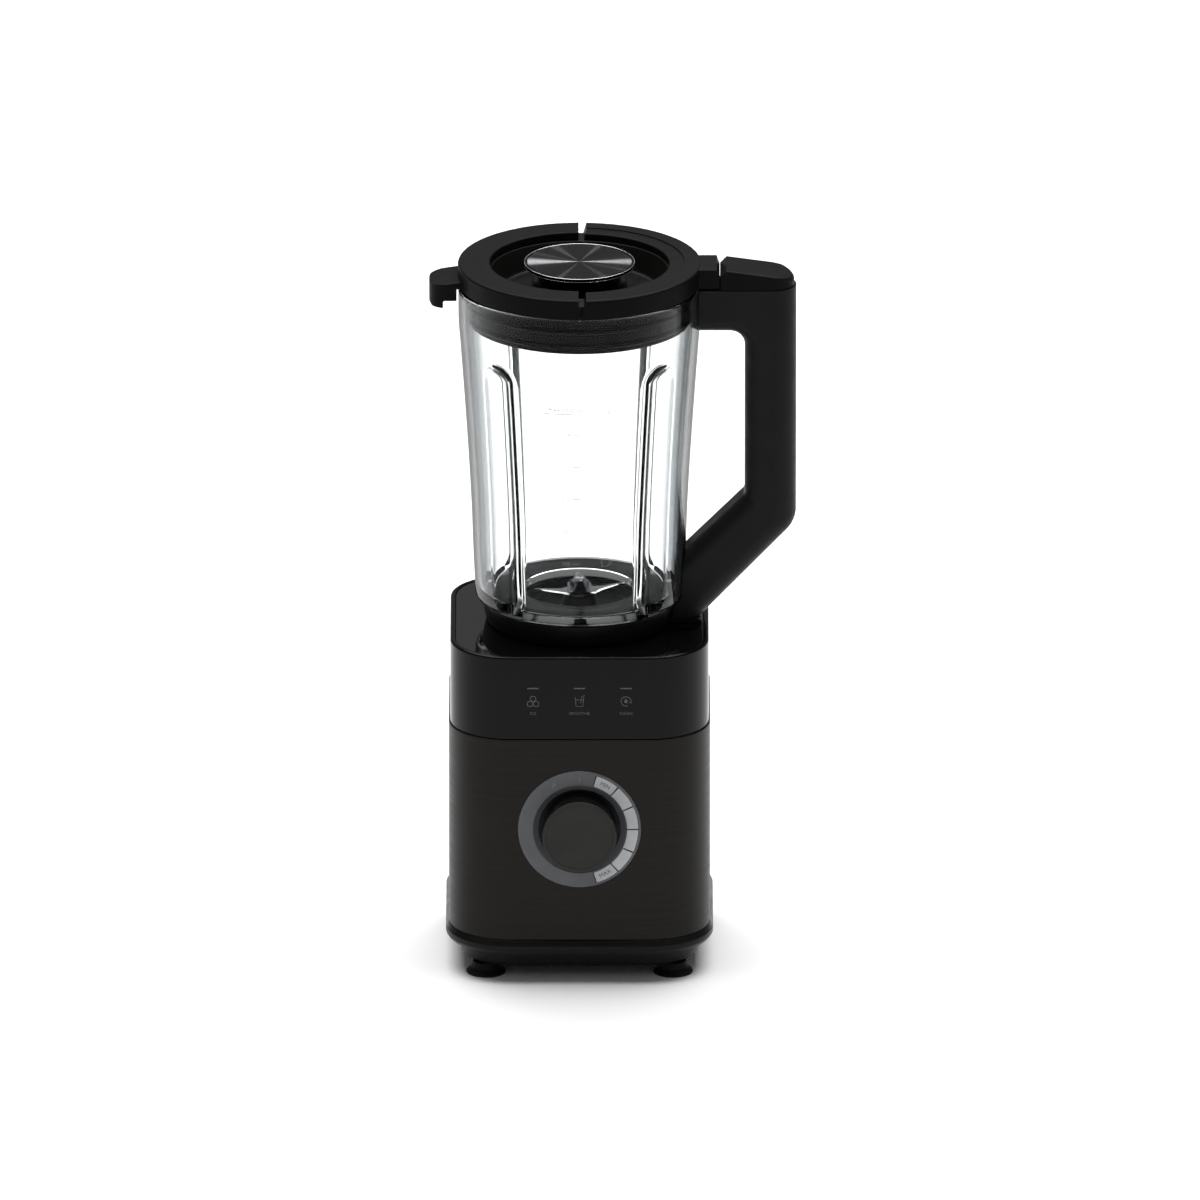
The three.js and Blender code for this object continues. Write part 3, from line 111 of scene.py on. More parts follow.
@dataclass(frozen=True)
class Extent:
    """A part's box in millimetres, measured from the drive axis at floor level."""

    low: Vector
    high: Vector

    @classmethod
    def of(cls, node: str) -> "Extent":
        """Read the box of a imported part.

        Args:
            node: The part's name.

        Returns:
            Its lowest and highest corner.
        """
        low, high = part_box(node)
        return cls((low - DRIVE_AXIS) / MM, (high - DRIVE_AXIS) / MM)

    @property
    def radius(self) -> float:
        """The half width along X, which is the radius of a round part."""
        return (self.high.x - self.low.x) / 2

    @property
    def centre(self) -> Vector:
        """The middle of the box."""
        return (self.low + self.high) / 2


UPRIGHT = Matrix.Translation(DRIVE_AXIS)


def facing(centre: Vector, quarter_turns: int) -> Matrix:
    """Place parts that are drawn with +Z pointing out of an upright face.

    Args:
        centre: The face's reference point in millimetres from the drive axis.
        quarter_turns: 1 for a face that looks to the front, -1 for one that looks to the back.

    Returns:
        The placing matrix.
    """
    turn = Matrix.Rotation(quarter_turns * math.pi / 2, 4, "X")
    return Matrix.Translation(DRIVE_AXIS + centre * MM) @ turn


# --- outlines


def fillet(here: Vector, before: Vector, after: Vector, radius: float, steps: int) -> list[Point]:
    """Round one corner of an outline.

    Args:
        here: The corner.
        before: The corner before it.
        after: The corner after it.
        radius: The rounding wanted; it shrinks where the sides are too short.
        steps: How many segments the arc has.

    Returns:
        The points of the arc, from the side before to the side after.
    """
    back = before - here
    ahead = after - here
    half = back.angle(ahead) / 2
    reach = min(radius / math.tan(half), 0.495 * back.length, 0.495 * ahead.length)
    radius = reach * math.tan(half)
    middle = here + (back.normalized() + ahead.normalized()).normalized() * (radius / math.sin(half))
    first = here + back.normalized() * reach - middle
    last = here + ahead.normalized() * reach - middle
    start = math.atan2(first.y, first.x)
    sweep = (math.atan2(last.y, last.x) - start + math.pi) % math.tau - math.pi
    angles = [start + sweep * step / steps for step in range(steps + 1)]
    return [(middle.x + radius * math.cos(a), middle.y + radius * math.sin(a)) for a in angles]


def rounded(corners: Sequence[Corner], steps: int = 4) -> list[Point]:
    """Draw a closed outline with rounded corners.

    Args:
        corners: (x, y) or (x, y, radius) of each corner in order.
        steps: Segments in each rounded corner.

    Returns:
        The outline's points.
    """
    outline = []
    for index, corner in enumerate(corners):
        here = Vector(corner[:2])
        if len(corner) == 2:
            outline.append((here.x, here.y))
            continue
        before = Vector(corners[index - 1][:2])
        after = Vector(corners[(index + 1) % len(corners)][:2])
        outline += fillet(here, before, after, corner[2], steps)
    return outline


def arc(radius: float, start: float, end: float, steps: int) -> list[Point]:
    """Give the points of an arc about the origin, its angles in degrees from +X."""
    angles = [math.radians(start + (end - start) * step / steps) for step in range(steps + 1)]
    return [(radius * math.cos(a), radius * math.sin(a)) for a in angles]


def inset(outline: Sequence[Point], distance: float) -> list[Point]:
    """Move a closed anticlockwise outline inwards.

    Args:
        outline: The points.
        distance: How far each side moves in.

    Returns:
        As many points, moved.
    """
    moved = []
    for index, here in enumerate(outline):
        before = Vector(here) - Vector(outline[index - 1])
        after = Vector(outline[(index + 1) % len(outline)]) - Vector(here)
        first = Vector((-before.y, before.x)).normalized()
        second = Vector((-after.y, after.x)).normalized()
        middle = (first + second).normalized()
        move = middle * (distance / max(middle.dot(first), 0.3))
        moved.append((here[0] + move.x, here[1] + move.y))
    return moved


# --- solids


@dataclass
class Solid:
    """A closed mesh in millimetres."""

    points: list[Vector]
    faces: list[list[int]]

    @classmethod
    def loft(cls, loops: Sequence[Sequence[Vector]], wrap: bool = False) -> "Solid":
        """Join equal loops into a skin.

        Args:
            loops: The loops in order.
            wrap: True if the last loop joins the first; otherwise both ends are capped.

        Returns:
            The closed solid.
        """
        size = len(loops[0])
        rows = len(loops)
        faces = []
        for row in range(rows if wrap else rows - 1):
            low = row * size
            high = ((row + 1) % rows) * size
            for k in range(size):
                n = (k + 1) % size
                faces.append([low + k, low + n, high + n, high + k])
        if not wrap:
            faces.append(list(range(size))[::-1])
            faces.append(list(range((rows - 1) * size, rows * size)))
        return cls([point for loop in loops for point in loop], faces)

    @classmethod
    def turned(cls, profile: Sequence[Point], steps: int = 96) -> "Solid":
        """Turn a closed outline of (radius, height) points about Z.

        Args:
            profile: The outline.
            steps: How many sides the round has.

        Returns:
            The turned solid.
        """
        turns = [math.tau * step / steps for step in range(steps)]
        loops = [[Vector((r * math.cos(a), r * math.sin(a), z)) for a in turns] for r, z in profile]
        return cls.loft(loops, wrap=True)

    @classmethod
    def extruded(cls, outline: Sequence[Point], low: float, high: float, edge: float = 0.0) -> "Solid":
        """Raise an anticlockwise outline, with its top edge chamfered where edge is above 0.

        Args:
            outline: The outline in the XY plane.
            low: The height of its bottom.
            high: The height of its top.
            edge: The size of the chamfer.

        Returns:
            The raised solid.
        """
        levels = [(0.0, low), (0.0, high - edge), (edge, high)] if edge else [(0.0, low), (0.0, high)]
        loops = [[Vector((x, y, z)) for x, y in inset(outline, margin)] for margin, z in levels]
        return cls.loft(loops)

    @classmethod
    def stroke(cls, path: Sequence[Point], width: float, height: float, closed: bool = False) -> "Solid":
        """Draw a raised line along a path in the XY plane.

        Args:
            path: The line's points.
            width: Its width.
            height: How far it stands up.
            closed: True if its last point joins the first.

        Returns:
            The line as a solid.
        """
        loops = []
        count = len(path)
        for index in range(count):
            here = Vector(path[index])
            before = Vector(path[index - 1]) if closed or index > 0 else here
            after = Vector(path[(index + 1) % count]) if closed or index < count - 1 else here
            along = (after - before).normalized()
            side = Vector((-along.y, along.x)) * width / 2
            left = here + side
            right = here - side
            loops.append([
                Vector((left.x, left.y, 0.0)),
                Vector((right.x, right.y, 0.0)),
                Vector((right.x, right.y, height)),
                Vector((left.x, left.y, height)),
            ])
        return cls.loft(loops, wrap=closed)

    @classmethod
    def box(cls, low: Corner, high: Corner) -> "Solid":
        """Make a plain block, used as a cutter or a rib."""
        plan = [(low[0], low[1]), (high[0], low[1]), (high[0], high[1]), (low[0], high[1])]
        return cls.extruded(plan, low[2], high[2])

    @classmethod
    def rod(
        cls, radius: float, low: float, high: float, centre: Point = (0.0, 0.0), steps: int = 48
    ) -> "Solid":
        """Make an upright round rod."""
        plan = [(x + centre[0], y + centre[1]) for x, y in arc(radius, 0, 360 - 360 / steps, steps - 1)]
        return cls.extruded(plan, low, high)

    @classmethod
    def taken(cls, piece: bpy.types.Object, place: Matrix = UPRIGHT) -> "Solid":
        """Turn a mesh object back into a solid, and remove the object.

        Args:
            piece: The object.
            place: Where the solid's own origin and axes lie.

        Returns:
            The solid in its own axes.
        """
        back = place.inverted()
        points = [(back @ vertex.co) / MM for vertex in piece.data.vertices]
        faces = [list(face.vertices) for face in piece.data.polygons]
        bpy.data.objects.remove(piece)
        return cls(points, faces)

    def moved(self, matrix: Matrix) -> "Solid":
        """Give a copy moved by a matrix in millimetres."""
        return Solid([matrix @ point for point in self.points], self.faces)

    def with_solids(self, *others: "Solid") -> "Solid":
        """Give one solid that holds this one and others beside it.

        Args:
            others: The solids to add.

        Returns:
            All of them as one solid.
        """
        points = list(self.points)
        faces = list(self.faces)
        for other in others:
            start = len(points)
            points += other.points
            faces += [[start + index for index in face] for face in other.faces]
        return Solid(points, faces)

    def to_object(self, name: str, place: Matrix = UPRIGHT) -> bpy.types.Object:
        """Make the mesh object in metres, with its place in its mesh.

        Args:
            name: The object's name.
            place: Where the solid's own origin and axes lie.

        Returns:
            The object, closed and with its faces outwards.
        """
        mesh = bpy.data.meshes.new(name)
        mesh.from_pydata([place @ (point * MM) for point in self.points], [], self.faces)
        made = bpy.data.objects.new(name, mesh)
        bpy.context.scene.collection.objects.link(made)
        shape = bmesh.new()
        shape.from_mesh(mesh)
        bmesh.ops.remove_doubles(shape, verts=shape.verts, dist=MERGE_DISTANCE)
        wires = [edge for edge in shape.edges if not edge.link_faces]
        bmesh.ops.delete(shape, geom=wires, context="EDGES")
        bmesh.ops.recalc_face_normals(shape, faces=shape.faces)
        shape.to_mesh(mesh)
        shape.free()
        return made


@dataclass(frozen=True)
class Plan:
    """The base's rounded rectangle, from which its shells and covers are drawn."""

    half_x: float
    half_y: float
    corner: float

    def loop(self, margin: float, height: float, steps: int = 16) -> list[Vector]:
        """Draw the plan at a height, set in by a margin.

        Args:
            margin: How far inside the full plan it lies.
            height: Its height.
            steps: Segments in each corner.

        Returns:
            The points, anticlockwise.
        """
        radius = max(self.corner - margin, 0.5)
        x = self.half_x - margin - radius
        y = self.half_y - margin - radius
        points = []
        for quarter, (sx, sy) in enumerate(((1, 1), (-1, 1), (-1, -1), (1, -1))):
            for px, py in arc(radius, 90 * quarter, 90 * quarter + 90, steps):
                points.append(Vector((sx * x + px, sy * y + py, height)))
        return points

    def ring(self, profile: Sequence[Point]) -> Solid:
        """Sweep a closed profile of (margin, height) points round the plan."""
        return Solid.loft([self.loop(margin, height) for margin, height in profile], wrap=True)

    def slab(self, profile: Sequence[Point]) -> Solid:
        """Stack an open profile of (margin, height) points and cap both ends."""
        return Solid.loft([self.loop(margin, height) for margin, height in profile])


@dataclass(frozen=True)
class Side:
    """A corner of a side outline, and how the edge that leaves it is rounded over to the flat sides."""

    x: float
    z: float
    fillet: float = 0.0
    edge: float = 1.0


def sided(corners: Sequence[Side], half_width: float, steps: int = 8) -> Solid:
    """Make a slab drawn in the XZ plane, whose edges are each rounded over with their own radius.

    Args:
        corners: The side outline, anticlockwise with X to the right and Z up.
        half_width: Half the slab's width along Y.
        steps: Segments in each rounding.

    Returns:
        The slab.
    """
    reaches = sorted({corner.edge for corner in corners})
    stations = {0.0}
    for reach in reaches:
        stations |= {half_width - reach + reach * math.sin(math.pi / 2 * s / steps) for s in range(steps + 1)}
    levels = sorted({round(sign * y, 4) for y in stations for sign in (-1, 1)})
    count = len(corners)
    loops = []
    for y in levels:
        drops = []
        for corner in corners:
            past = max(0.0, abs(y) - (half_width - corner.edge))
            drops.append(corner.edge - math.sqrt(max(corner.edge ** 2 - past ** 2, 0.0)))
        tips = []
        for index, corner in enumerate(corners):
            before = corners[index - 1]
            after = corners[(index + 1) % count]
            first = Vector((corner.x - before.x, corner.z - before.z)).normalized()
            second = Vector((after.x - corner.x, after.z - corner.z)).normalized()
            wedge = first.x * second.y - first.y * second.x
            near = Vector((-first.y, first.x)) * drops[index - 1]
            far = Vector((-second.y, second.x)) * drops[index]
            along = ((far - near).x * second.y - (far - near).y * second.x) / wedge
            tips.append((Vector((corner.x, corner.z)) + near + first * along, wedge))
        loop = []
        for index, corner in enumerate(corners):
            here, wedge = tips[index]
            if corner.fillet:
                drop = (drops[index] + drops[index - 1]) / 2
                bend = corner.fillet - drop if wedge > 0 else corner.fillet + drop
                bend = max(bend, corner.fillet * 0.2)
                line = fillet(here, tips[index - 1][0], tips[(index + 1) % count][0], bend, steps)
            else:
                line = [(here.x, here.y)]
            loop += [Vector((px, y, pz)) for px, pz in line]
        loops.append(loop)
    return Solid.loft(loops)


def bake(piece: bpy.types.Object) -> None:
    """Replace an object's mesh with what its modifiers make of it, and drop the modifiers.

    Args:
        piece: The mesh object.
    """
    graph = bpy.context.evaluated_depsgraph_get()
    mesh = bpy.data.meshes.new_from_object(piece.evaluated_get(graph))
    plain = piece.data
    piece.modifiers.clear()
    piece.data = mesh
    bpy.data.meshes.remove(plain)
    mesh.name = piece.name


def combine(piece: bpy.types.Object, join: Join, *tools: Solid, place: Matrix = UPRIGHT) -> None:
    """Cut tools out of a piece, or add them to it.

    Args:
        piece: The piece that changes.
        join: Whether the tools are cut out or added.
        tools: The solids to work with.
        place: Where the tools' own origin and axes lie.
    """
    for tool in tools:
        cutter = tool.to_object("tool", place)
        modifier = piece.modifiers.new("Join", "BOOLEAN")
        modifier.operation = join.value
        modifier.solver = "EXACT"
        modifier.object = cutter
        bake(piece)
        spare = cutter.data
        bpy.data.objects.remove(cutter)
        bpy.data.meshes.remove(spare)


def polish(piece: bpy.types.Object) -> None:
    """Shade a piece smooth between its sharp edges, with its large faces kept flat.

    Args:
        piece: The mesh object.
    """
    shape = bmesh.new()
    shape.from_mesh(piece.data)
    for face in shape.faces:
        face.smooth = True
    for edge in shape.edges:
        edge.smooth = edge.is_manifold and edge.calc_face_angle(0.0) < SHARP_ANGLE
    shape.to_mesh(piece.data)
    shape.free()
    modifier = piece.modifiers.new("Normals", "WEIGHTED_NORMAL")
    modifier.keep_sharp = True
    bake(piece)


def settle(
    piece: bpy.types.Object,
    body: Body,
    finish: "Finish | None" = None,
    stands_for: Sequence[str] = (),
) -> bpy.types.Object:
    """Give a piece its finish and let it ride on its body.

    Args:
        piece: The finished mesh object.
        body: The body it moves with.
        finish: The finish to paint it with, or None if it has its materials already.
        stands_for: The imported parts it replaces.

    Returns:
        The same piece.
    """
    polish(piece)
    if finish is not None:
        piece.data.materials.clear()
        piece.data.materials.append(finish.material())
    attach(piece, body.value)
    if stands_for:
        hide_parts(*stands_for)
    LOG.info("%s: %d faces on %s", piece.name, len(piece.data.polygons), body.value)
    return piece


# --- copies by geometry nodes


@dataclass(frozen=True)
class Copies:
    """Repeats one solid with a geometry-nodes tree, and bakes the copies to one mesh."""

    layout: Layout
    count: int = 2
    step: float = 0.0
    offset: tuple[float, float, float] = (0.0, 0.0, 0.0)
    size: Point = (0.0, 0.0)

    def inputs(self) -> dict[str, tuple[str, object]]:
        """Name what the layout's tree takes in.

        Returns:
            Each input's label, with its socket type and value.
        """
        if self.layout is Layout.AROUND:
            step = math.radians(self.step)
            return {"Count": ("NodeSocketInt", self.count), "Step": ("NodeSocketFloat", step)}
        if self.layout is Layout.ROW:
            offset = [MM * value for value in self.offset]
            return {"Count": ("NodeSocketInt", self.count), "Offset": ("NodeSocketVector", offset)}
        width, depth = (MM * value for value in self.size)
        return {"Width": ("NodeSocketFloat", width), "Depth": ("NodeSocketFloat", depth)}

    def tree(self) -> bpy.types.NodeTree:
        """Build the tree for this layout, or find the one that exists.

        Returns:
            The tree, which ends in Realize Instances and Set Material.
        """
        name = f"copies_{self.layout.value}"
        if name in bpy.data.node_groups:
            return bpy.data.node_groups[name]
        tree = bpy.data.node_groups.new(name, "GeometryNodeTree")
        tree.interface.new_socket("Unit", in_out="INPUT", socket_type="NodeSocketGeometry")
        for label, (kind, _) in self.inputs().items():
            tree.interface.new_socket(label, in_out="INPUT", socket_type=kind)
        tree.interface.new_socket("Material", in_out="INPUT", socket_type="NodeSocketMaterial")
        tree.interface.new_socket("Copies", in_out="OUTPUT", socket_type="NodeSocketGeometry")
        add = tree.nodes.new
        join = tree.links.new
        source = add("NodeGroupInput").outputs
        place = add("GeometryNodeInstanceOnPoints")
        if self.layout is Layout.GRID:
            points = add("GeometryNodeMeshGrid")
            points.inputs["Vertices X"].default_value = 2
            points.inputs["Vertices Y"].default_value = 2
            join(source["Width"], points.inputs["Size X"])
            join(source["Depth"], points.inputs["Size Y"])
        else:
            points = add("GeometryNodeMeshLine")
            join(source["Count"], points.inputs["Count"])
        if self.layout is Layout.ROW:
            join(source["Offset"], points.inputs["Offset"])
        if self.layout is Layout.AROUND:
            points.inputs["Offset"].default_value = (0.0, 0.0, 0.0)
            turn = add("ShaderNodeMath")
            turn.operation = "MULTIPLY"
            join(add("GeometryNodeInputIndex").outputs["Index"], turn.inputs[0])
            join(source["Step"], turn.inputs[1])
            angles = add("ShaderNodeCombineXYZ")
            join(turn.outputs["Value"], angles.inputs["Z"])
            join(angles.outputs["Vector"], place.inputs["Rotation"])
        join(points.outputs["Mesh"], place.inputs["Points"])
        join(source["Unit"], place.inputs["Instance"])
        realize = add("GeometryNodeRealizeInstances")
        join(place.outputs["Instances"], realize.inputs["Geometry"])
        paint = add("GeometryNodeSetMaterial")
        join(realize.outputs["Geometry"], paint.inputs["Geometry"])
        join(source["Material"], paint.inputs["Material"])
        join(paint.outputs["Geometry"], add("NodeGroupOutput").inputs["Copies"])
        return tree

    def of(self, unit: Solid, name: str, finish: "Finish", place: Matrix = UPRIGHT) -> bpy.types.Object:
        """Make the copies.

        Args:
            unit: The shape to repeat, drawn at its first place.
            name: The name of the piece that holds the copies.
            finish: What the copies are painted with.
            place: Where the unit's own origin and axes lie.

        Returns:
            The piece, a plain mesh.
        """
        piece = unit.to_object(name, Matrix.Identity(4))
        tree = self.tree()
        modifier = piece.modifiers.new("Copies", "NODES")
        modifier.node_group = tree
        values = {label: value for label, (_, value) in self.inputs().items()}
        values["Material"] = finish.material()
        for socket in tree.interface.items_tree:
            if socket.name in values:
                modifier[socket.identifier] = values[socket.name]
        bake(piece)
        piece.data.transform(place)
        return piece


RIB_RING = Copies(Layout.AROUND, count=24, step=15.0)


# --- finishes


def linear(code: str, gain: float = 1.0) -> tuple[float, float, float, float]:
    """Turn a hexadecimal screen colour into linear light, times a gain.

    Args:
        code: The colour, two digits to a channel.
        gain: What its light is multiplied by.

    Returns:
        The colour as four linear values.
    """
    levels = [int(code[k:k + 2], 16) / 255 for k in (0, 2, 4)]
    light = [v / 12.92 if v <= 0.04045 else ((v + 0.055) / 1.055) ** 2.4 for v in levels]
    return (*(min(value * gain, 1.0) for value in light), 1.0)


class Sheet:
    """A material's node tree, with short ways to add the nodes that finishes share."""

    def __init__(self, name: str) -> None:
        """Start a material with one Principled shader.

        Args:
            name: The material's name.
        """
        self.material = bpy.data.materials.new(name)
        self.material.use_nodes = True
        self.tree = self.material.node_tree
        self.shader = self.tree.nodes["Principled BSDF"]
        self.position = self.add("ShaderNodeTexCoord").outputs["Object"]

    def add(self, kind: str, **settings: object) -> bpy.types.Node:
        """Add a node and set its properties.

        Args:
            kind: The node's type.
            settings: Its properties by name.

        Returns:
            The node.
        """
        node = self.tree.nodes.new(kind)
        for key, value in settings.items():
            setattr(node, key, value)
        return node

    def join(self, start: Socket, end: Socket) -> None:
        """Link two sockets."""
        self.tree.links.new(start, end)

    def constants(self, **values: object) -> None:
        """Set the shader's own sockets, with underscores for the spaces in their names."""
        for name, value in values.items():
            self.shader.inputs[name.replace("_", " ")].default_value = value

    def centred(self, centre: Vector) -> Socket:
        """Give Object coordinates measured from a point.

        Args:
            centre: The point, in metres.

        Returns:
            The coordinates.
        """
        mapping = self.add("ShaderNodeMapping", vector_type="TEXTURE")
        mapping.inputs["Location"].default_value = centre
        self.join(self.position, mapping.inputs["Vector"])
        return mapping.outputs["Vector"]

    def noise(self, grain: Sequence[float], detail: float = 3.0) -> Socket:
        """Add a noise over Object coordinates.

        Args:
            grain: The size of its grain in millimetres along each axis.
            detail: How many finer layers it has.

        Returns:
            The noise, from 0 to 1.
        """
        mapping = self.add("ShaderNodeMapping", vector_type="POINT")
        mapping.inputs["Scale"].default_value = [1 / (MM * size) for size in grain]
        self.join(self.position, mapping.inputs["Vector"])
        noise = self.add("ShaderNodeTexNoise")
        noise.inputs["Scale"].default_value = 1.0
        noise.inputs["Detail"].default_value = detail
        self.join(mapping.outputs["Vector"], noise.inputs["Vector"])
        return noise.outputs["Fac"]

    def ranged(self, value: Socket, low: float, high: float) -> Socket:
        """Spread the middle of a 0 to 1 value over a range.

        Args:
            value: The value.
            low: What 0.3 becomes.
            high: What 0.7 becomes.

        Returns:
            The spread value.
        """
        node = self.add("ShaderNodeMapRange")
        node.inputs["From Min"].default_value = 0.3
        node.inputs["From Max"].default_value = 0.7
        node.inputs["To Min"].default_value = low
        node.inputs["To Max"].default_value = high
        self.join(value, node.inputs["Value"])
        return node.outputs["Result"]

    def ramp(self, value: Socket, *stops: tuple[float, Sequence[float]]) -> Socket:
        """Turn a value into a colour by stops of (place, colour).

        Args:
            value: The value.
            stops: The stops, in order.

        Returns:
            The colour.
        """
        node = self.add("ShaderNodeValToRGB")
        elements = node.color_ramp.elements
        while len(elements) < len(stops):
            elements.new(0.5)
        for element, (place, colour) in zip(elements, stops):
            element.position = place
            element.color = colour
        self.join(value, node.inputs["Fac"])
        return node.outputs["Color"]

    def math(self, operation: str, *values: "Socket | float") -> Socket:
        """Work out one sum.

        Args:
            operation: The kind of sum.
            values: What goes in: sockets or plain numbers.

        Returns:
            The result.
        """
        node = self.add("ShaderNodeMath", operation=operation)
        for socket, value in zip(node.inputs, values):
            if isinstance(value, (int, float)):
                socket.default_value = value
            else:
                self.join(value, socket)
        return node.outputs["Value"]

    def relief(self, height: Socket, depth: float, strength: float = 1.0) -> None:
        """Roughen the surface, on top of any relief so far.

        Args:
            height: The shape of the relief.
            depth: Its depth in millimetres.
            strength: How strongly it shows.
        """
        bump = self.add("ShaderNodeBump")
        bump.inputs["Strength"].default_value = strength
        bump.inputs["Distance"].default_value = depth * MM
        self.join(height, bump.inputs["Height"])
        if self.shader.inputs["Normal"].links:
            self.join(self.shader.inputs["Normal"].links[0].from_socket, bump.inputs["Normal"])
        self.join(bump.outputs["Normal"], self.shader.inputs["Normal"])

    def colour(self, socket: Socket) -> None:
        """Feed the base colour."""
        self.join(socket, self.shader.inputs["Base Color"])

    def roughness(self, socket: Socket) -> None:
        """Feed the roughness."""
        self.join(socket, self.shader.inputs["Roughness"])


@dataclass(frozen=True)
class Finish:
    """A surface finish. Its material is made once and shared by the pieces that have it."""

    name: str

    def material(self) -> bpy.types.Material:
        """Give the finish's material, made on first use.

        Returns:
            The material.
        """
        made = bpy.data.materials.get(self.name)
        if made is None:
            sheet = Sheet(self.name)
            self.paint(sheet)
            made = sheet.material
        return made

    def paint(self, sheet: Sheet) -> None:
        """Add the finish's nodes; each finish does its own."""


@dataclass(frozen=True)
class Moulded(Finish):
    """A moulded plastic or rubber: fine grain, with slow changes of tone and gloss."""

    tone: str = "1c1c1b"
    roughness: float = 0.4
    gloss: float = 0.3
    grain: float = 0.45
    depth: float = 0.012
    unevenness: float = 0.06

    def paint(self, sheet: Sheet) -> None:
        """Lay slow mottling under a fine moulded grain.

        Args:
            sheet: The material to paint.
        """
        sheet.constants(Specular_IOR_Level=self.gloss)
        slow = sheet.noise((24, 24, 24))
        fine = sheet.noise((self.grain,) * 3, 5.0)
        sheet.colour(sheet.ramp(slow, (0.3, linear(self.tone, 0.88)), (0.7, linear(self.tone, 1.12))))
        low = max(self.roughness - self.unevenness, 0.01)
        sheet.roughness(sheet.ranged(sheet.noise((9, 9, 9)), low, self.roughness + self.unevenness))
        sheet.relief(fine, self.depth, 0.6)


@dataclass(frozen=True)
class Brushed(Finish):
    """Dark metal brushed level round the body."""

    tone: str = "222120"
    roughness: float = 0.36
    stroke: float = 60.0
    width: float = 0.16

    def paint(self, sheet: Sheet) -> None:
        """Draw long level strokes of several widths in the tone, the gloss and the relief.

        Args:
            sheet: The material to paint.
        """
        sheet.constants(Metallic=1.0, Anisotropic=0.65)
        fine = sheet.noise((self.stroke, self.stroke, self.width), 2.0)
        broad = sheet.noise((self.stroke * 1.7, self.stroke * 1.7, self.width * 7), 4.0)
        both = sheet.math("ADD", sheet.math("MULTIPLY", fine, 0.6), sheet.math("MULTIPLY", broad, 0.4))
        sheet.colour(sheet.ramp(both, (0.36, linear(self.tone, 0.86)), (0.64, linear(self.tone, 1.16))))
        sheet.roughness(sheet.ranged(both, self.roughness - 0.08, self.roughness + 0.1))
        sheet.relief(fine, 0.006, 0.5)


@dataclass(frozen=True)
class Turned(Finish):
    """Dark metal faced on a lathe: fine rings, and a fan of painted highlights round the middle."""

    centre: tuple[float, float, float] = (0.0, 0.0, 0.0)
    tone: str = "373738"
    ring: float = 0.55
    # Painted highlights: each ray's heading in degrees, narrowness and strength.
    painted_highlights: tuple[tuple[float, float, float], ...] = (
        (0.0, 30.0, 0.75), (180.0, 24.0, 0.85), (118.0, 60.0, 0.6), (68.0, 160.0, 0.7),
        (-62.0, 60.0, 0.5), (-112.0, 160.0, 0.6), (150.0, 200.0, 0.4), (-30.0, 200.0, 0.4),
    )

    def paint(self, sheet: Sheet) -> None:
        """Draw rings by the distance from the axis, and painted highlights as soft rays by the angle round
        it.

        Args:
            sheet: The material to paint.
        """
        sheet.constants(Metallic=1.0, Anisotropic=0.85)
        split = sheet.add("ShaderNodeSeparateXYZ")
        sheet.join(sheet.centred(Vector(self.centre)), split.inputs["Vector"])
        x, y = split.outputs["X"], split.outputs["Y"]
        squared = sheet.math("ADD", sheet.math("MULTIPLY", x, x), sheet.math("MULTIPLY", y, y))
        radius = sheet.math("SQRT", squared)
        rings = sheet.math("SINE", sheet.math("MULTIPLY", radius, math.tau / (self.ring * MM)))
        angle = sheet.math("ARCTAN2", y, x)
        tone = sheet.math("MULTIPLY", rings, 0.05)
        # Each lobe is a painted highlight, a bright ray added to the colour by the angle round the axis.
        for heading, narrowness, strength in self.painted_highlights:
            turned = sheet.math("COSINE", sheet.math("SUBTRACT", angle, math.radians(heading)))
            painted_lobe = sheet.math("POWER", sheet.math("MAXIMUM", turned, 0.0), narrowness)
            tone = sheet.math("MULTIPLY_ADD", painted_lobe, strength, tone)
        # The ramp's top stop lifts the painted highlights to 14 times the metal's tone.
        sheet.colour(sheet.ramp(
            tone,
            (0.0, linear(self.tone, 0.05)), (0.4, linear(self.tone, 0.45)),
            (1.0, linear(self.tone, 14.0)),
        ))
        sheet.roughness(sheet.ranged(rings, 0.26, 0.36))
        sheet.relief(rings, 0.01, 0.4)


@dataclass(frozen=True)
class Metal(Finish):
    """Bare machined or cast metal, with fine marks and dull patches."""

    tone: str = "c3c5c8"
    roughness: float = 0.28
    grain: tuple[float, float, float] = (3.0, 3.0, 0.5)
    depth: float = 0.01

    def paint(self, sheet: Sheet) -> None:
        """Mark the metal along its grain and dull it in patches.

        Args:
            sheet: The material to paint.
        """
        sheet.constants(Metallic=1.0)
        marks = sheet.noise(self.grain, 5.0)
        sheet.colour(sheet.ramp(marks, (0.3, linear(self.tone, 0.8)), (0.7, linear(self.tone, 1.15))))
        sheet.roughness(sheet.ranged(sheet.noise((6, 6, 6)), self.roughness * 0.7, self.roughness * 1.3))
        sheet.relief(marks, self.depth, 0.5)


@dataclass(frozen=True)
class Banded(Finish):
    """Stacked sheets or wound wire: level bands with a groove between each, darkened by painted shade."""

    tone: str = "8d8f92"
    band: float = 0.8
    depth: float = 0.12

    def paint(self, sheet: Sheet) -> None:
        """Draw the bands up the piece, with painted shade in each groove.

        Args:
            sheet: The material to paint.
        """
        sheet.constants(Metallic=1.0, Roughness=0.38)
        split = sheet.add("ShaderNodeSeparateXYZ")
        sheet.join(sheet.position, split.inputs["Vector"])
        turns = sheet.math("SINE", sheet.math("MULTIPLY", split.outputs["Z"], math.tau / (self.band * MM)))
        level = sheet.math("ADD", sheet.math("MULTIPLY", turns, 0.4), sheet.noise((5, 5, 2)))
        # Painted shade: the colour darkens where the relief sinks into a groove.
        sheet.colour(sheet.ramp(level, (0.1, linear(self.tone, 0.35)), (0.8, linear(self.tone, 1.1))))
        sheet.relief(turns, self.depth, 0.7)


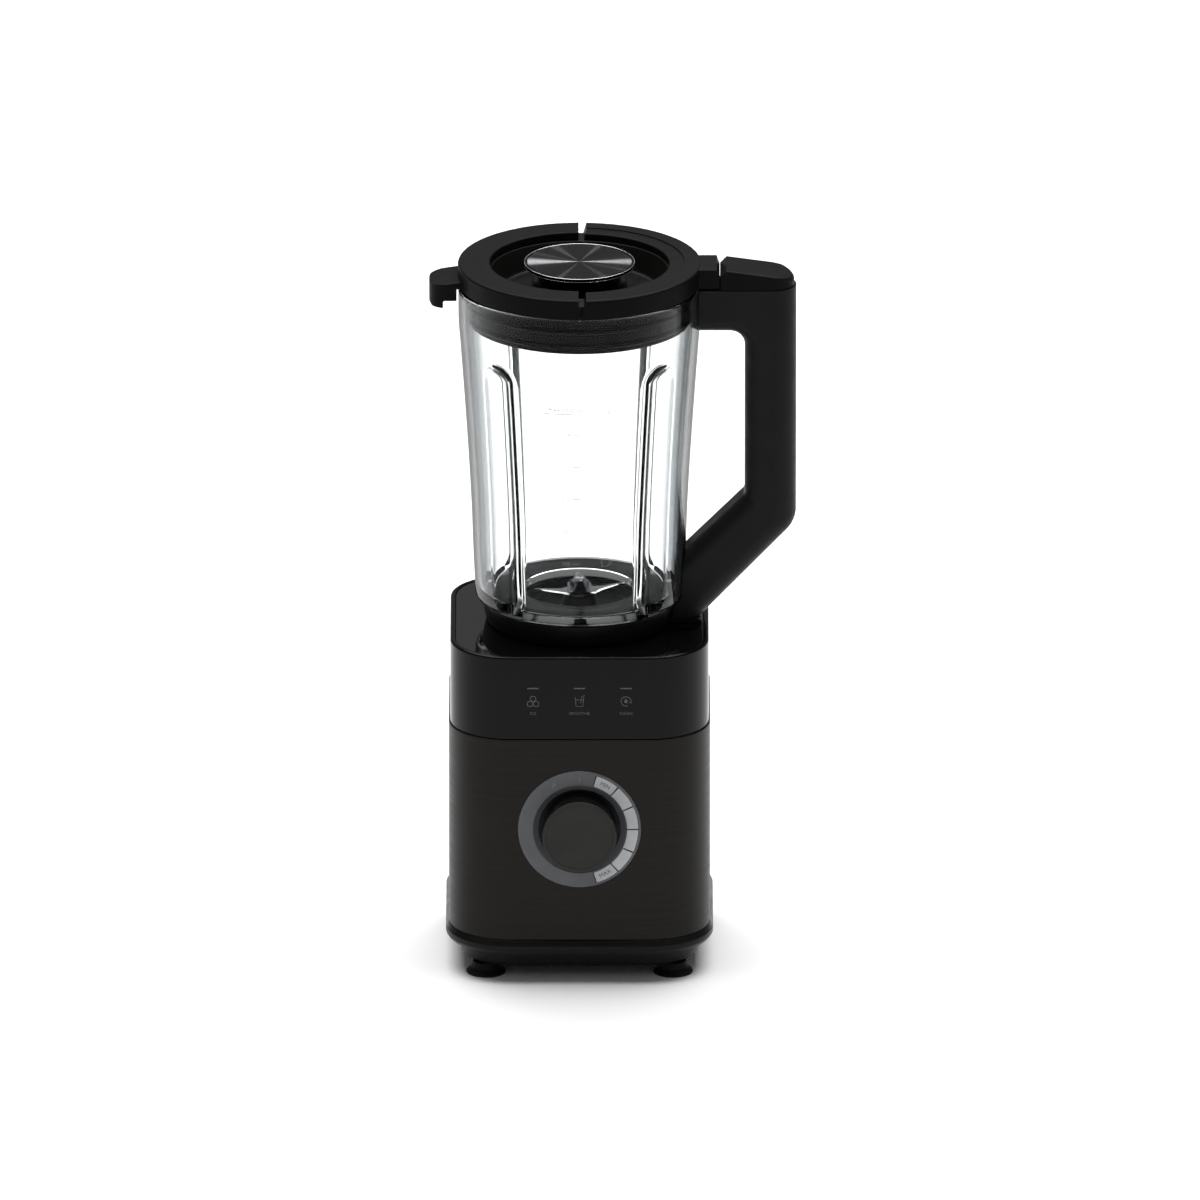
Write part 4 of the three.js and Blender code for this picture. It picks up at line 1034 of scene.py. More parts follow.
@dataclass(frozen=True)
class Board(Finish):
    """A printed circuit board: lacquered fibre with soldered pads."""

    tone: str = "1f5a34"

    def paint(self, sheet: Sheet) -> None:
        """Scatter pads over the lacquer.

        Args:
            sheet: The material to paint.
        """
        sheet.constants(Roughness=0.35, Coat_Weight=0.4)
        cells = sheet.add("ShaderNodeTexVoronoi", distance="CHEBYCHEV")
        cells.inputs["Scale"].default_value = 260.0
        sheet.join(sheet.position, cells.inputs["Vector"])
        pads = sheet.ramp(
            cells.outputs["Distance"],
            (0.16, linear("c8c4b4")), (0.2, linear(self.tone, 0.7)),
            (0.7, linear(self.tone, 1.2)),
        )
        sheet.colour(pads)
        sheet.relief(cells.outputs["Distance"], 0.08, 0.3)


@dataclass(frozen=True)
class Glass(Finish):
    """Clear pressed glass with a very slight waviness, and painted shade where it is seen edge on."""

    tone: str = "fdffff"
    painted_edge_shade: str = "040404"

    def paint(self, sheet: Sheet) -> None:
        """Let light through, less of it where the surface is seen edge on, paint shade there, and ripple it a
        little.

        Args:
            sheet: The material to paint.
        """
        sheet.constants(IOR=1.36, Roughness=0.0, Specular_IOR_Level=0.0)
        sheet.constants(Specular_Tint=(0.15, 0.15, 0.15, 1.0))
        facing_away = sheet.add("ShaderNodeLayerWeight").outputs["Facing"]
        slow = sheet.noise((60, 60, 90), 1.0)
        uneven = sheet.math("MULTIPLY_ADD", slow, 0.04, facing_away)
        # Painted shade: the colour falls to near black where the glass is seen edge on.
        sheet.colour(sheet.ramp(
            uneven,
            (0.42, linear(self.tone)), (0.58, linear("a4a8aa")),
            (0.7, linear("505355")), (0.84, linear(self.painted_edge_shade)),
        ))
        # Painted shade too: less light passes where the glass is seen edge on.
        clear = sheet.ramp(facing_away, (0.6, (1.0, 1.0, 1.0, 1.0)), (0.95, (0.25, 0.25, 0.25, 1.0)))
        sheet.join(clear, sheet.shader.inputs["Transmission Weight"])
        sheet.relief(slow, 0.2, 0.2)


@dataclass(frozen=True)
class Ink(Finish):
    """Printed or backlit marking, a little uneven in cover."""

    tone: str = "5c5c5e"
    roughness: float = 0.5

    def paint(self, sheet: Sheet) -> None:
        """Vary the cover of the ink.

        Args:
            sheet: The material to paint.
        """
        sheet.constants(Roughness=self.roughness, Specular_IOR_Level=0.2)
        cover = sheet.noise((0.5, 0.5, 0.5))
        sheet.colour(sheet.ramp(cover, (0.3, linear(self.tone, 0.85)), (0.7, linear(self.tone, 1.05))))


CAP_CENTRE = tuple((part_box("cap_disc")[0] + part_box("cap_disc")[1]) / 2)

BLACK_PLASTIC = Moulded("moulded_black_plastic", tone="0e0e0d", roughness=0.34, gloss=0.12)
SOFT_PLASTIC = Moulded("soft_black_plastic", tone="181818", roughness=0.44, gloss=0.1, grain=0.6, depth=0.02)
LID_PLASTIC = Moulded("soft_lid_plastic", tone="0c0c0c", roughness=0.44, gloss=0.06, grain=0.6, depth=0.02)
GLOSS_PLASTIC = Moulded(
    "gloss_black_plastic", tone="090909", roughness=0.13, gloss=0.12, grain=6.0, depth=0.004, unevenness=0.03)
PLATE_GLOSS = Moulded(
    "mirror_black_plate", tone="070708", roughness=0.03, gloss=0.62, grain=22.0, depth=0.01, unevenness=0.012)
KNOB_FACE = Moulded("satin_knob_face", tone="292827", roughness=0.5, gloss=0.2, grain=0.35, depth=0.01)
KNOB_SIDE = Moulded("gloss_knob_side", tone="0a0a0a", roughness=0.12, gloss=0.2, grain=5.0, depth=0.003)
DIAL_GREY = Moulded("satin_dial_grey", tone="545558", roughness=0.38, gloss=0.4, grain=0.3, depth=0.006)
SCALE_GREY = Moulded("light_scale_grey", tone="b4b6b9", roughness=0.35, gloss=0.5, grain=0.3, depth=0.004)
RUBBER = Moulded("moulded_rubber", tone="0f0f0f", roughness=0.6, gloss=0.15, grain=0.8, depth=0.03)
SEAL_RUBBER = Moulded("seal_rubber", tone="0c0c0c", roughness=0.4, gloss=0.15, grain=1.2, depth=0.01)
SLEEVE_METAL = Brushed("brushed_black_metal")
CAP_METAL = Turned("turned_metal_painted_highlights", centre=CAP_CENTRE)
BLADE_STEEL = Metal("ground_steel", tone="cfd1d4", roughness=0.16, grain=(0.6, 8.0, 8.0), depth=0.004)
PLAIN_STEEL = Metal("plain_steel")
CAST_METAL = Metal("rough_cast_metal", tone="9a9c9f", roughness=0.5, grain=(1.2, 1.2, 1.2), depth=0.08)
LAMINATION = Banded("core_sheets")
WINDING = Banded("copper_winding", tone="b4683a", band=0.9, depth=0.2)
BRASS = Metal("drawn_brass", tone="c8a662", roughness=0.3)
CIRCUIT = Board("green_board")
CLEAR_GLASS = Glass("pressed_clear_glass_painted_edges")
PANEL_INK = Ink("dim_panel_ink", tone="5a5a5c")
RING_INK = Ink("pale_ring_ink", tone="77787b")
SCALE_INK = Ink("dark_scale_ink", tone="4c4c55")
GLASS_INK = Ink("faint_glass_ink", tone="747678")


# --- base


SLEEVE = Extent.of("body_shell")
BASE_PLAN = Plan(SLEEVE.high.x, -SLEEVE.low.y, 38.0)
FACE_Y = SLEEVE.low.y
CORNERS = ("front_left", "front_right", "rear_left", "rear_right")


@dataclass
class Base:
    """The brushed sleeve, the tray under it, its feet and screws, and the grommet for the cord."""

    wall: float = 1.5
    sleeve_edge: float = 0.45
    bumper_proud: float = 1.9
    bumper_ledge: float = 3.2
    tub_inset: float = 5.6
    tub_flare: float = 3.4
    tray_wall: float = 3.0
    tray_floor: float = 3.6
    vent_pitch: float = 9.0
    vent_width: float = 4.0
    vent_length: float = 44.0
    foot_neck: float = 8.0
    screw_head: float = 1.8
    screw_shank: float = 1.9
    vents: int = 7

    def build(self) -> None:
        """Build every piece of the lower body."""
        self.sleeve()
        self.tray()
        self.feet()
        self.screws()
        self.grommet()

    def sleeve(self) -> None:
        """Bend the metal sleeve, with its holes for the dial and the grommet."""
        low, high = SLEEVE.low.z, SLEEVE.high.z
        profile = rounded([
            (0.0, high, self.sleeve_edge), (0.0, low, self.sleeve_edge),
            (self.wall, low, self.sleeve_edge), (self.wall, high, self.sleeve_edge),
        ], 3)
        piece = BASE_PLAN.ring(profile).to_object("body_shell_brushed")
        knob = Extent.of("control_knob").centre
        hole = Solid.rod(37.8, -8.0, 8.0, steps=128)
        combine(piece, Join.CUT, hole, place=facing(Vector((0.0, FACE_Y, knob.z)), 1))
        gland = Extent.of("cord_gland").centre
        hole = Solid.rod(6.5, -8.0, 8.0)
        combine(piece, Join.CUT, hole, place=facing(Vector((0.0, SLEEVE.high.y, gland.z)), -1))
        settle(piece, Body.BASE, SLEEVE_METAL, ["body_shell"])

    def tray(self) -> None:
        """Mould the tray: a flared tub with a bumper round its top and air slots in its floor."""
        box = Extent.of("bottom_tray")
        low, high = box.low.z, box.high.z
        middle = low + 10.7
        profile = rounded([
            (self.tub_inset + 16.0, low), (self.tub_inset + self.tub_flare, low, 5.0),
            (self.tub_inset - 1.2, middle - 0.6, 1.5), (0.2, middle + 0.6, 1.6),
            (-self.bumper_proud, middle + 3.4, 2.4),
            (-self.bumper_proud, high - self.bumper_ledge, 1.4), (-0.1, high, 0.4),
            (self.tub_inset + self.tray_wall, high, 0.4),
            (self.tub_inset + self.tray_wall + self.tub_flare, low + self.tray_floor, 3.0),
            (self.tub_inset + 18.0, low + self.tray_floor),
        ], 5)
        piece = BASE_PLAN.slab(profile).to_object("bottom_tray_moulded")
        half = self.vent_width / 2
        reach = self.vent_length / 2 - half
        slot = [(x, y + reach) for x, y in arc(half, 0, 180, 8)]
        slot += [(x, y - reach) for x, y in arc(half, 180, 360, 8)]
        first = -(self.vents - 1) / 2 * self.vent_pitch
        for index in range(self.vents):
            outline = [(x + first + index * self.vent_pitch, y) for x, y in slot]
            combine(piece, Join.CUT, Solid.extruded(outline, low - 2, low + 6))
        screw = Extent.of("tray_screw_rear_right").centre
        for sx in (-1, 1):
            for sy in (-1, 1):
                combine(piece, Join.CUT, Solid.rod(3.9, low - 2, low + 2.2, (sx * screw.x, sy * screw.y)))
        settle(piece, Body.BASE, BLACK_PLASTIC, ["bottom_tray"])
        blade = Solid.box((first + self.vent_pitch / 2 - 0.6, -reach, low + 3.0),
                          (first + self.vent_pitch / 2 + 0.6, reach, low + 7.5))
        row = Copies(Layout.ROW, count=self.vents - 1, offset=(self.vent_pitch, 0.0, 0.0))
        louvres = row.of(blade, "tray_air_baffles", BLACK_PLASTIC)
        settle(louvres, Body.BASE)

    def feet(self) -> None:
        """Turn the four rubber suction feet."""
        box = Extent.of("foot_rear_right")
        rim, top = box.radius, box.high.z
        tray_low = Extent.of("bottom_tray").low.z
        profile = rounded([
            (0.0, 1.6), (rim - 3.0, 0.0, 1.0), (rim, 0.0, 0.35), (rim, 1.3, 0.5),
            (self.foot_neck + 1.2, 3.6, 2.0), (self.foot_neck, tray_low - 0.3, 0.4),
            (3.0, tray_low - 0.3), (3.0, top), (0.0, top),
        ], 5)
        grid = Copies(Layout.GRID, size=(2 * box.centre.x, 2 * box.centre.y))
        piece = grid.of(Solid.turned(profile, 64), "rubber_feet", RUBBER)
        settle(piece, Body.BASE, None, [f"foot_{corner}" for corner in CORNERS])

    def screws(self) -> None:
        """Turn the four pan-head screws with their cross slots."""
        box = Extent.of("tray_screw_rear_right")
        head = box.radius
        low = box.low.z
        under = low + self.screw_head
        shank = self.screw_shank
        profile = rounded([
            (0.0, low), (head, low, 0.9), (head, under, 0.2),
            (shank, under), (shank, box.high.z), (0.0, box.high.z),
        ], 3)
        flat = Matrix.Identity(4)
        blank = Solid.turned(profile, 20).to_object("screw_blank", flat)
        arm = Solid.box((-1.9, -0.45, low - 0.2), (1.9, 0.45, low + 1.0))
        combine(blank, Join.CUT, arm, arm.moved(Matrix.Rotation(math.pi / 2, 4, "Z")), place=flat)
        grid = Copies(Layout.GRID, size=(2 * box.centre.x, 2 * box.centre.y))
        piece = grid.of(Solid.taken(blank, flat), "tray_screws", PLAIN_STEEL)
        settle(piece, Body.BASE, None, [f"tray_screw_{corner}" for corner in CORNERS])

    def grommet(self) -> None:
        """Turn the rubber grommet in the back, with grip ribs round its flange."""
        box = Extent.of("cord_gland")
        proud = box.high.y - SLEEVE.high.y
        profile = rounded([
            (3.9, -3.8), (7.8, -3.8, 0.5), (7.8, -1.8, 0.2), (6.2, -1.8),
            (6.2, 0.3), (9.0, 0.3, 0.3), (9.0, 1.6, 0.5), (7.2, proud, 0.8),
            (3.9, proud, 0.8),
        ], 4)
        place = facing(Vector((0.0, SLEEVE.high.y, box.centre.z)), -1)
        piece = Solid.turned(profile, 72).to_object("cord_grommet", place)
        settle(piece, Body.BASE, RUBBER, ["cord_gland"])
        rib = Solid.box((8.75, -0.35, 0.5), (9.25, 0.35, 1.5))
        ribs = RIB_RING.of(rib, "cord_grommet_ribs", RUBBER, place)
        settle(ribs, Body.BASE)


@dataclass
class ControlBand:
    """The gloss housing above the sleeve, its sunk plate, the jug's seat and the touch keys."""

    margin: float = 0.8
    rim: float = 3.0
    wall: float = 2.5
    top_edge: float = 1.9
    skirt: float = 9.0
    ledge_depth: float = 4.0
    plate_gap: float = 0.3
    key_pitch: float = 28.3
    key_letter: float = 1.9
    mark: float = 0.06

    def build(self) -> None:
        """Build the housing and what sits in and on it."""
        self.housing()
        self.plate()
        self.seat()
        self.keys()

    def housing(self) -> None:
        """Mould the housing with a rounded rim, a ledge for the plate and four screw bosses."""
        box = Extent.of("control_housing")
        top = box.high.z
        foot = SLEEVE.high.z + 0.3
        inner = self.margin + self.wall
        profile = rounded([
            (self.margin, top, self.top_edge), (self.margin, foot, 0.4),
            (1.8, foot), (1.8, foot - self.skirt, 0.5),
            (1.8 + self.wall, foot - self.skirt, 0.5),
            (1.8 + self.wall, top - self.ledge_depth - 3.0, 0.5),
            (inner + 4.2, top - self.ledge_depth - 3.0, 0.3),
            (inner + 4.2, top - self.ledge_depth, 0.3),
            (self.margin + self.rim, top - self.ledge_depth, 0.2),
            (self.margin + self.rim, top, 0.5),
        ], 6)
        piece = BASE_PLAN.ring(profile).to_object("control_housing_gloss")
        settle(piece, Body.BASE, GLOSS_PLASTIC, ["control_housing"])
        screw = Extent.of("tray_screw_rear_right").centre
        boss = Solid.turned(rounded([
            (2.2, 31.0, 0.3), (4.6, 31.0, 0.6), (4.6, top - 7.2), (2.2, top - 7.2),
        ]), 24)
        grid = Copies(Layout.GRID, size=(2 * screw.x, 2 * screw.y))
        settle(grid.of(boss, "housing_screw_bosses", BLACK_PLASTIC), Body.BASE)

    def plate(self) -> None:
        """Cut the mirror-black plate, with its holes for the seat and the interlock pin."""
        box = Extent.of("top_plate")
        margin = self.margin + self.rim + self.plate_gap
        profile = rounded([
            (margin + 14.0, box.low.z), (margin, box.low.z),
            (margin, box.high.z, 0.6), (margin + 14.0, box.high.z),
        ], 4)
        piece = BASE_PLAN.slab(profile).to_object("top_plate_mirror")
        pin = Extent.of("interlock_pin").centre
        hole = Solid.rod(42.3, box.low.z - 2, box.high.z + 2, steps=128)
        combine(piece, Join.CUT, hole, Solid.rod(2.6, box.low.z - 2, box.high.z + 2, (0.0, pin.y), 24))
        settle(piece, Body.BASE, PLATE_GLOSS, ["top_plate"])

    def seat(self) -> None:
        """Mould the well that the jug's coupling drops into, with its rim and legs."""
        box = Extent.of("drive_seat")
        rim = box.radius
        top = box.high.z
        profile = rounded([
            (8.0, 194.0), (42.0, 194.0, 0.8), (42.0, 210.7), (rim, 210.7, 0.2),
            (rim - 0.8, top, 1.0), (39.5, top, 0.8), (39.5, 196.4, 1.5), (8.0, 196.4, 0.4),
        ], 5)
        piece = Solid.turned(profile, 128).to_object("drive_seat_moulded")
        pin = Extent.of("interlock_pin").centre
        mount = Extent.of("motor_mount_right")
        for side in (-1, 1):
            leg = Solid.rod(5.0, mount.high.z + 0.3, 195.0, (side * mount.centre.x, 0.0))
            combine(piece, Join.ADD, leg)
        combine(piece, Join.CUT, Solid.rod(2.3, 190.0, top + 2, (0.0, pin.y), 24))
        settle(piece, Body.BASE, BLACK_PLASTIC, ["drive_seat"])
        box = Extent.of("interlock_pin")
        shank = Solid.turned(rounded([
            (0.0, box.low.z), (box.radius, box.low.z, 0.3), (box.radius, box.high.z, 1.2), (0.0, box.high.z),
        ]), 32)
        pin_piece = shank.moved(Matrix.Translation((0.0, pin.y, 0.0))).to_object("interlock_pin_turned")
        settle(pin_piece, Body.PLUNGER, BLACK_PLASTIC, ["interlock_pin"])

    def keys(self) -> None:
        """Print the three touch keys: a light line, a sign and a plain word under each."""
        place = facing(Vector((0.0, FACE_Y + self.margin, 0.0)), 1)
        dash = Solid.box((-self.key_pitch - 3.4, 190.6, 0.0), (-self.key_pitch + 3.4, 191.4, self.mark))
        row = Copies(Layout.ROW, count=3, offset=(self.key_pitch, 0.0, 0.0))
        settle(row.of(dash, "key_light_lines", PANEL_INK, place), Body.BASE)
        signs = (self.cubes_sign(), self.cup_sign(), self.rinse_sign())
        words = ("ICE", "SMOOTHIE", "CLEAN")
        for index, (sign, word) in enumerate(zip(signs, words)):
            x = (index - 1) * self.key_pitch
            shifted = sign.moved(Matrix.Translation((x, 182.6, 0.0)))
            piece = shifted.to_object(f"key_sign_{word.lower()}", place)
            settle(piece, Body.BASE, PANEL_INK)
            spot = place @ mm_shift(x, 174.8)
            label = lettering(f"key_word_{word.lower()}", word, self.key_letter, self.mark, spot)
            settle(label, Body.BASE, PANEL_INK)

    def cubes_sign(self) -> Solid:
        """Draw three rings that stand in a pile.

        Returns:
            The sign about its middle.
        """
        centres = ((0.0, 1.7), (-1.9, -1.6), (1.9, -1.6))
        rings = [[(x + cx, y + cy) for x, y in arc(1.7, 0, 345, 23)] for cx, cy in centres]
        lines = [Solid.stroke(ring, 0.45, self.mark, closed=True) for ring in rings]
        return lines[0].with_solids(*lines[1:])

    def cup_sign(self) -> Solid:
        """Draw a tumbler with a straw and the level of the drink.

        Returns:
            The sign about its middle.
        """
        glass = Solid.stroke([(-2.6, 2.6), (-2.1, -3.2), (2.1, -3.2), (2.6, 2.6)], 0.45, self.mark)
        level = Solid.stroke([(-2.2, 1.0), (2.2, 1.0)], 0.4, self.mark)
        straw = Solid.stroke([(0.6, -1.0), (1.5, 3.2), (3.1, 3.8)], 0.4, self.mark)
        return glass.with_solids(level, straw)

    def rinse_sign(self) -> Solid:
        """Draw a turning arrow round a drop.

        Returns:
            The sign about its middle.
        """
        ring = Solid.stroke(arc(3.0, -20, 290, 30), 0.45, self.mark)
        head = Solid.extruded([(1.9, -1.2), (3.9, -1.2), (2.8, 0.4)], 0.0, self.mark)
        drop = Solid.extruded(arc(1.1, 140, 400, 14) + [(0.0, 1.9)], 0.0, self.mark)
        return ring.with_solids(head, drop)


def mm_shift(x: float, y: float, z: float = 0.0, turn: float = 0.0) -> Matrix:
    """Give a shift in millimetres and a turn about the shifted Z, for parts drawn on a face."""
    return Matrix.Translation(Vector((x, y, z)) * MM) @ Matrix.Rotation(turn, 4, "Z")


def lettering(name: str, words: str, size: float, height: float, place: Matrix) -> bpy.types.Object:
    """Make raised lettering.

    Args:
        name: The piece's name.
        words: What it says.
        size: The letters' height in millimetres.
        height: How far they stand up.
        place: Where the middle of the line is, with +Z out of the face.

    Returns:
        The letters as a plain mesh.
    """
    text = bpy.data.curves.new(name, "FONT")
    text.body = words
    text.size = size * MM * 1.35
    text.extrude = height * MM / 2
    text.resolution_u = 3
    text.align_x = "CENTER"
    text.align_y = "CENTER"
    source = bpy.data.objects.new(f"{name}_text", text)
    bpy.context.scene.collection.objects.link(source)
    graph = bpy.context.evaluated_depsgraph_get()
    mesh = bpy.data.meshes.new_from_object(source.evaluated_get(graph))
    bpy.data.objects.remove(source)
    mesh.name = name
    mesh.transform(place @ Matrix.Translation((0.0, 0.0, height * MM / 2)))
    shape = bmesh.new()
    shape.from_mesh(mesh)
    bmesh.ops.remove_doubles(shape, verts=shape.verts, dist=MERGE_DISTANCE / 10)
    shape.to_mesh(mesh)
    shape.free()
    made = bpy.data.objects.new(name, mesh)
    bpy.context.scene.collection.objects.link(made)
    return made


@dataclass
class Dial:
    """The speed dial: its ring, the six pale fields, the marks and the knob."""

    flange: float = 40.5
    mouth: float = 24.9
    floor_inner: float = 16.0
    wall: float = 1.5
    fields: int = 6
    field_gap: float = 0.8
    field_middle: float = 32.4
    letter: float = 2.7
    print_height: float = 0.05

    def __post_init__(self) -> None:
        """Find the dial's place on the front."""
        self.ring_box = Extent.of("dial_ring")
        self.scale_box = Extent.of("speed_scale")
        self.knob_box = Extent.of("control_knob")
        self.place = facing(Vector((0.0, FACE_Y, self.knob_box.centre.z)), 1)
        self.start = 16.5
        self.end = 180 - self.start

    def build(self) -> None:
        """Build the dial."""
        self.ring()
        self.scale()
        self.marks()
        self.knob()

    def sector(self, inner: float, outer: float, start: float, end: float, steps: int) -> list[Point]:
        """Draw a ring sector; its angles are clockwise from the top."""
        return arc(outer, 90 - end, 90 - start, steps) + arc(inner, 90 - start, 90 - end, steps)

    def ring(self) -> None:
        """Turn the grey ring and sink the fields' pocket in it."""
        proud = FACE_Y - self.ring_box.low.y
        profile = rounded([
            (self.floor_inner, -4.4), (self.flange, -4.4),
            (self.flange, -self.wall - 0.3), (37.5, -self.wall - 0.3),
            (37.5, proud, 0.45), (28.4, proud, 0.25),
            (self.mouth, proud - 2.4, 0.4), (self.mouth, -2.6), (self.floor_inner, -2.6),
        ], 5)
        piece = Solid.turned(profile, 160).to_object("dial_ring_satin", self.place)
        outline = self.sector(28.8, 36.0, self.start - 0.4, self.end + 0.4, 64)
        pocket = Solid.extruded(outline, proud - 0.9, proud + 2)
        combine(piece, Join.CUT, pocket, place=self.place)
        settle(piece, Body.BASE, DIAL_GREY, ["dial_ring"])
        # Painted shade: the faces inside the ring's mouth, behind the knob, take the black plastic.
        piece.data.materials.append(BLACK_PLASTIC.material())
        middle = self.place.translation
        for face in piece.data.polygons:
            if math.hypot(face.center.x - middle.x, face.center.z - middle.z) < (self.mouth + 0.05) * MM:
                face.material_index = 1

    def scale(self) -> None:
        """Set the six pale fields round the right-hand side."""
        proud = FACE_Y - self.scale_box.low.y
        step = (self.end - self.start) / self.fields
        slack = math.degrees(self.field_gap / 2 / self.field_middle)
        outline = self.sector(29.0, 35.8, self.start + slack, self.start + step - slack, 12)
        unit = Solid.extruded(outline, proud - 1.4, proud, 0.2)
        copies = Copies(Layout.AROUND, count=self.fields, step=-step)
        piece = copies.of(unit, "speed_fields", SCALE_GREY, self.place)
        settle(piece, Body.BASE, None, ["speed_scale"])

    def marks(self) -> None:
        """Print the least and most marks on the end fields, and the on and pulse marks on the ring."""
        scale_top = FACE_Y - self.scale_box.low.y
        ring_top = FACE_Y - self.ring_box.low.y
        step = (self.end - self.start) / self.fields
        marks = (
            ("dial_word_min", "MIN", self.start + step / 2, scale_top, False, SCALE_INK),
            ("dial_word_max", "MAX", self.end - step / 2, scale_top, True, SCALE_INK),
        )
        for name, word, angle, height, flipped, ink in marks:
            turn = math.radians(-angle + (180 if flipped else 0))
            x, y = arc(self.field_middle, 90 - angle, 90 - angle, 1)[0]
            place = self.place @ mm_shift(x, y, height, turn)
            letters = lettering(name, word, self.letter, self.print_height, place)
            settle(letters, Body.BASE, ink)
        for name, word, angle in (("dial_mark_on", "I", 0.0), ("dial_mark_pulse", "P", -29.0)):
            x, y = arc(32.0, 90 - angle, 90 - angle, 1)[0]
            place = self.place @ mm_shift(x, y, ring_top)
            letters = lettering(name, word, 3.4, self.print_height, place)
            settle(letters, Body.BASE, RING_INK)

    def knob(self) -> None:
        """Turn the knob: a satin face on a gloss side, with a fine groove between them."""
        radius = self.knob_box.radius
        proud = FACE_Y - self.knob_box.low.y
        profile = rounded([
            (0.0, proud - 2.7), (3.3, proud - 2.7), (3.3, -0.9), (6.0, -0.9),
            (6.0, proud - 2.4), (radius - 2.4, proud - 2.4),
            (radius - 2.4, -0.9, 0.3), (radius, -0.9, 0.3),
            (radius, proud, 1.3), (radius - 2.2, proud),
            (radius - 2.35, proud - 0.12), (radius - 2.5, proud), (0.0, proud),
        ], 6)
        piece = Solid.turned(profile, 128).to_object("control_knob_turned", self.place)
        settle(piece, Body.KNOB, KNOB_SIDE, ["control_knob"])
        piece.data.materials.append(KNOB_FACE.material())
        front = (self.place @ (Vector((0.0, 0.0, proud)) * MM)).y
        for face in piece.data.polygons:
            if face.center.y < front + 1.1 * MM:
                face.material_index = 1


# --- motor and other inner parts


@dataclass
class InnerParts:
    """The parts inside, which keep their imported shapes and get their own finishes."""

    def build(self) -> None:
        """Dress each inner part."""
        finishes: dict[Finish, tuple[str, ...]] = {
            PLAIN_STEEL: (
                "knob_shaft", "motor_shaft", "lower_bearing", "upper_bearing", "handle_screw", "blade_bush",
            ),
            CAST_METAL: ("lower_motor_bracket", "upper_motor_bracket"),
            LAMINATION: ("stator_core", "armature"),
            WINDING: ("field_coil_left", "field_coil_right"),
            BRASS: ("commutator", "brush_holder_left", "brush_holder_right"),
            RUBBER: ("motor_mount_left", "motor_mount_right"),
            BLACK_PLASTIC: ("rotary_switch", "interlock_switch", "cooling_fan"),
            CIRCUIT: ("control_board", "touch_board"),
        }
        for finish, nodes in finishes.items():
            for node in nodes:
                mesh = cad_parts[node].data
                mesh.materials.clear()
                mesh.materials.append(finish.material())
                LOG.info("%s: packed shape in %s", node, finish.name)
        self.commutator_bars()

    def commutator_bars(self) -> None:
        """Lay the copper bars round the commutator."""
        box = Extent.of("commutator")
        radius = box.radius
        bar = Solid.box((radius - 0.4, -1.2, box.low.z + 0.8), (radius + 0.25, 1.2, box.high.z - 0.8))
        bars = RIB_RING.of(bar, "commutator_bars", WINDING)
        settle(bars, Body.ROTOR)


# --- jug


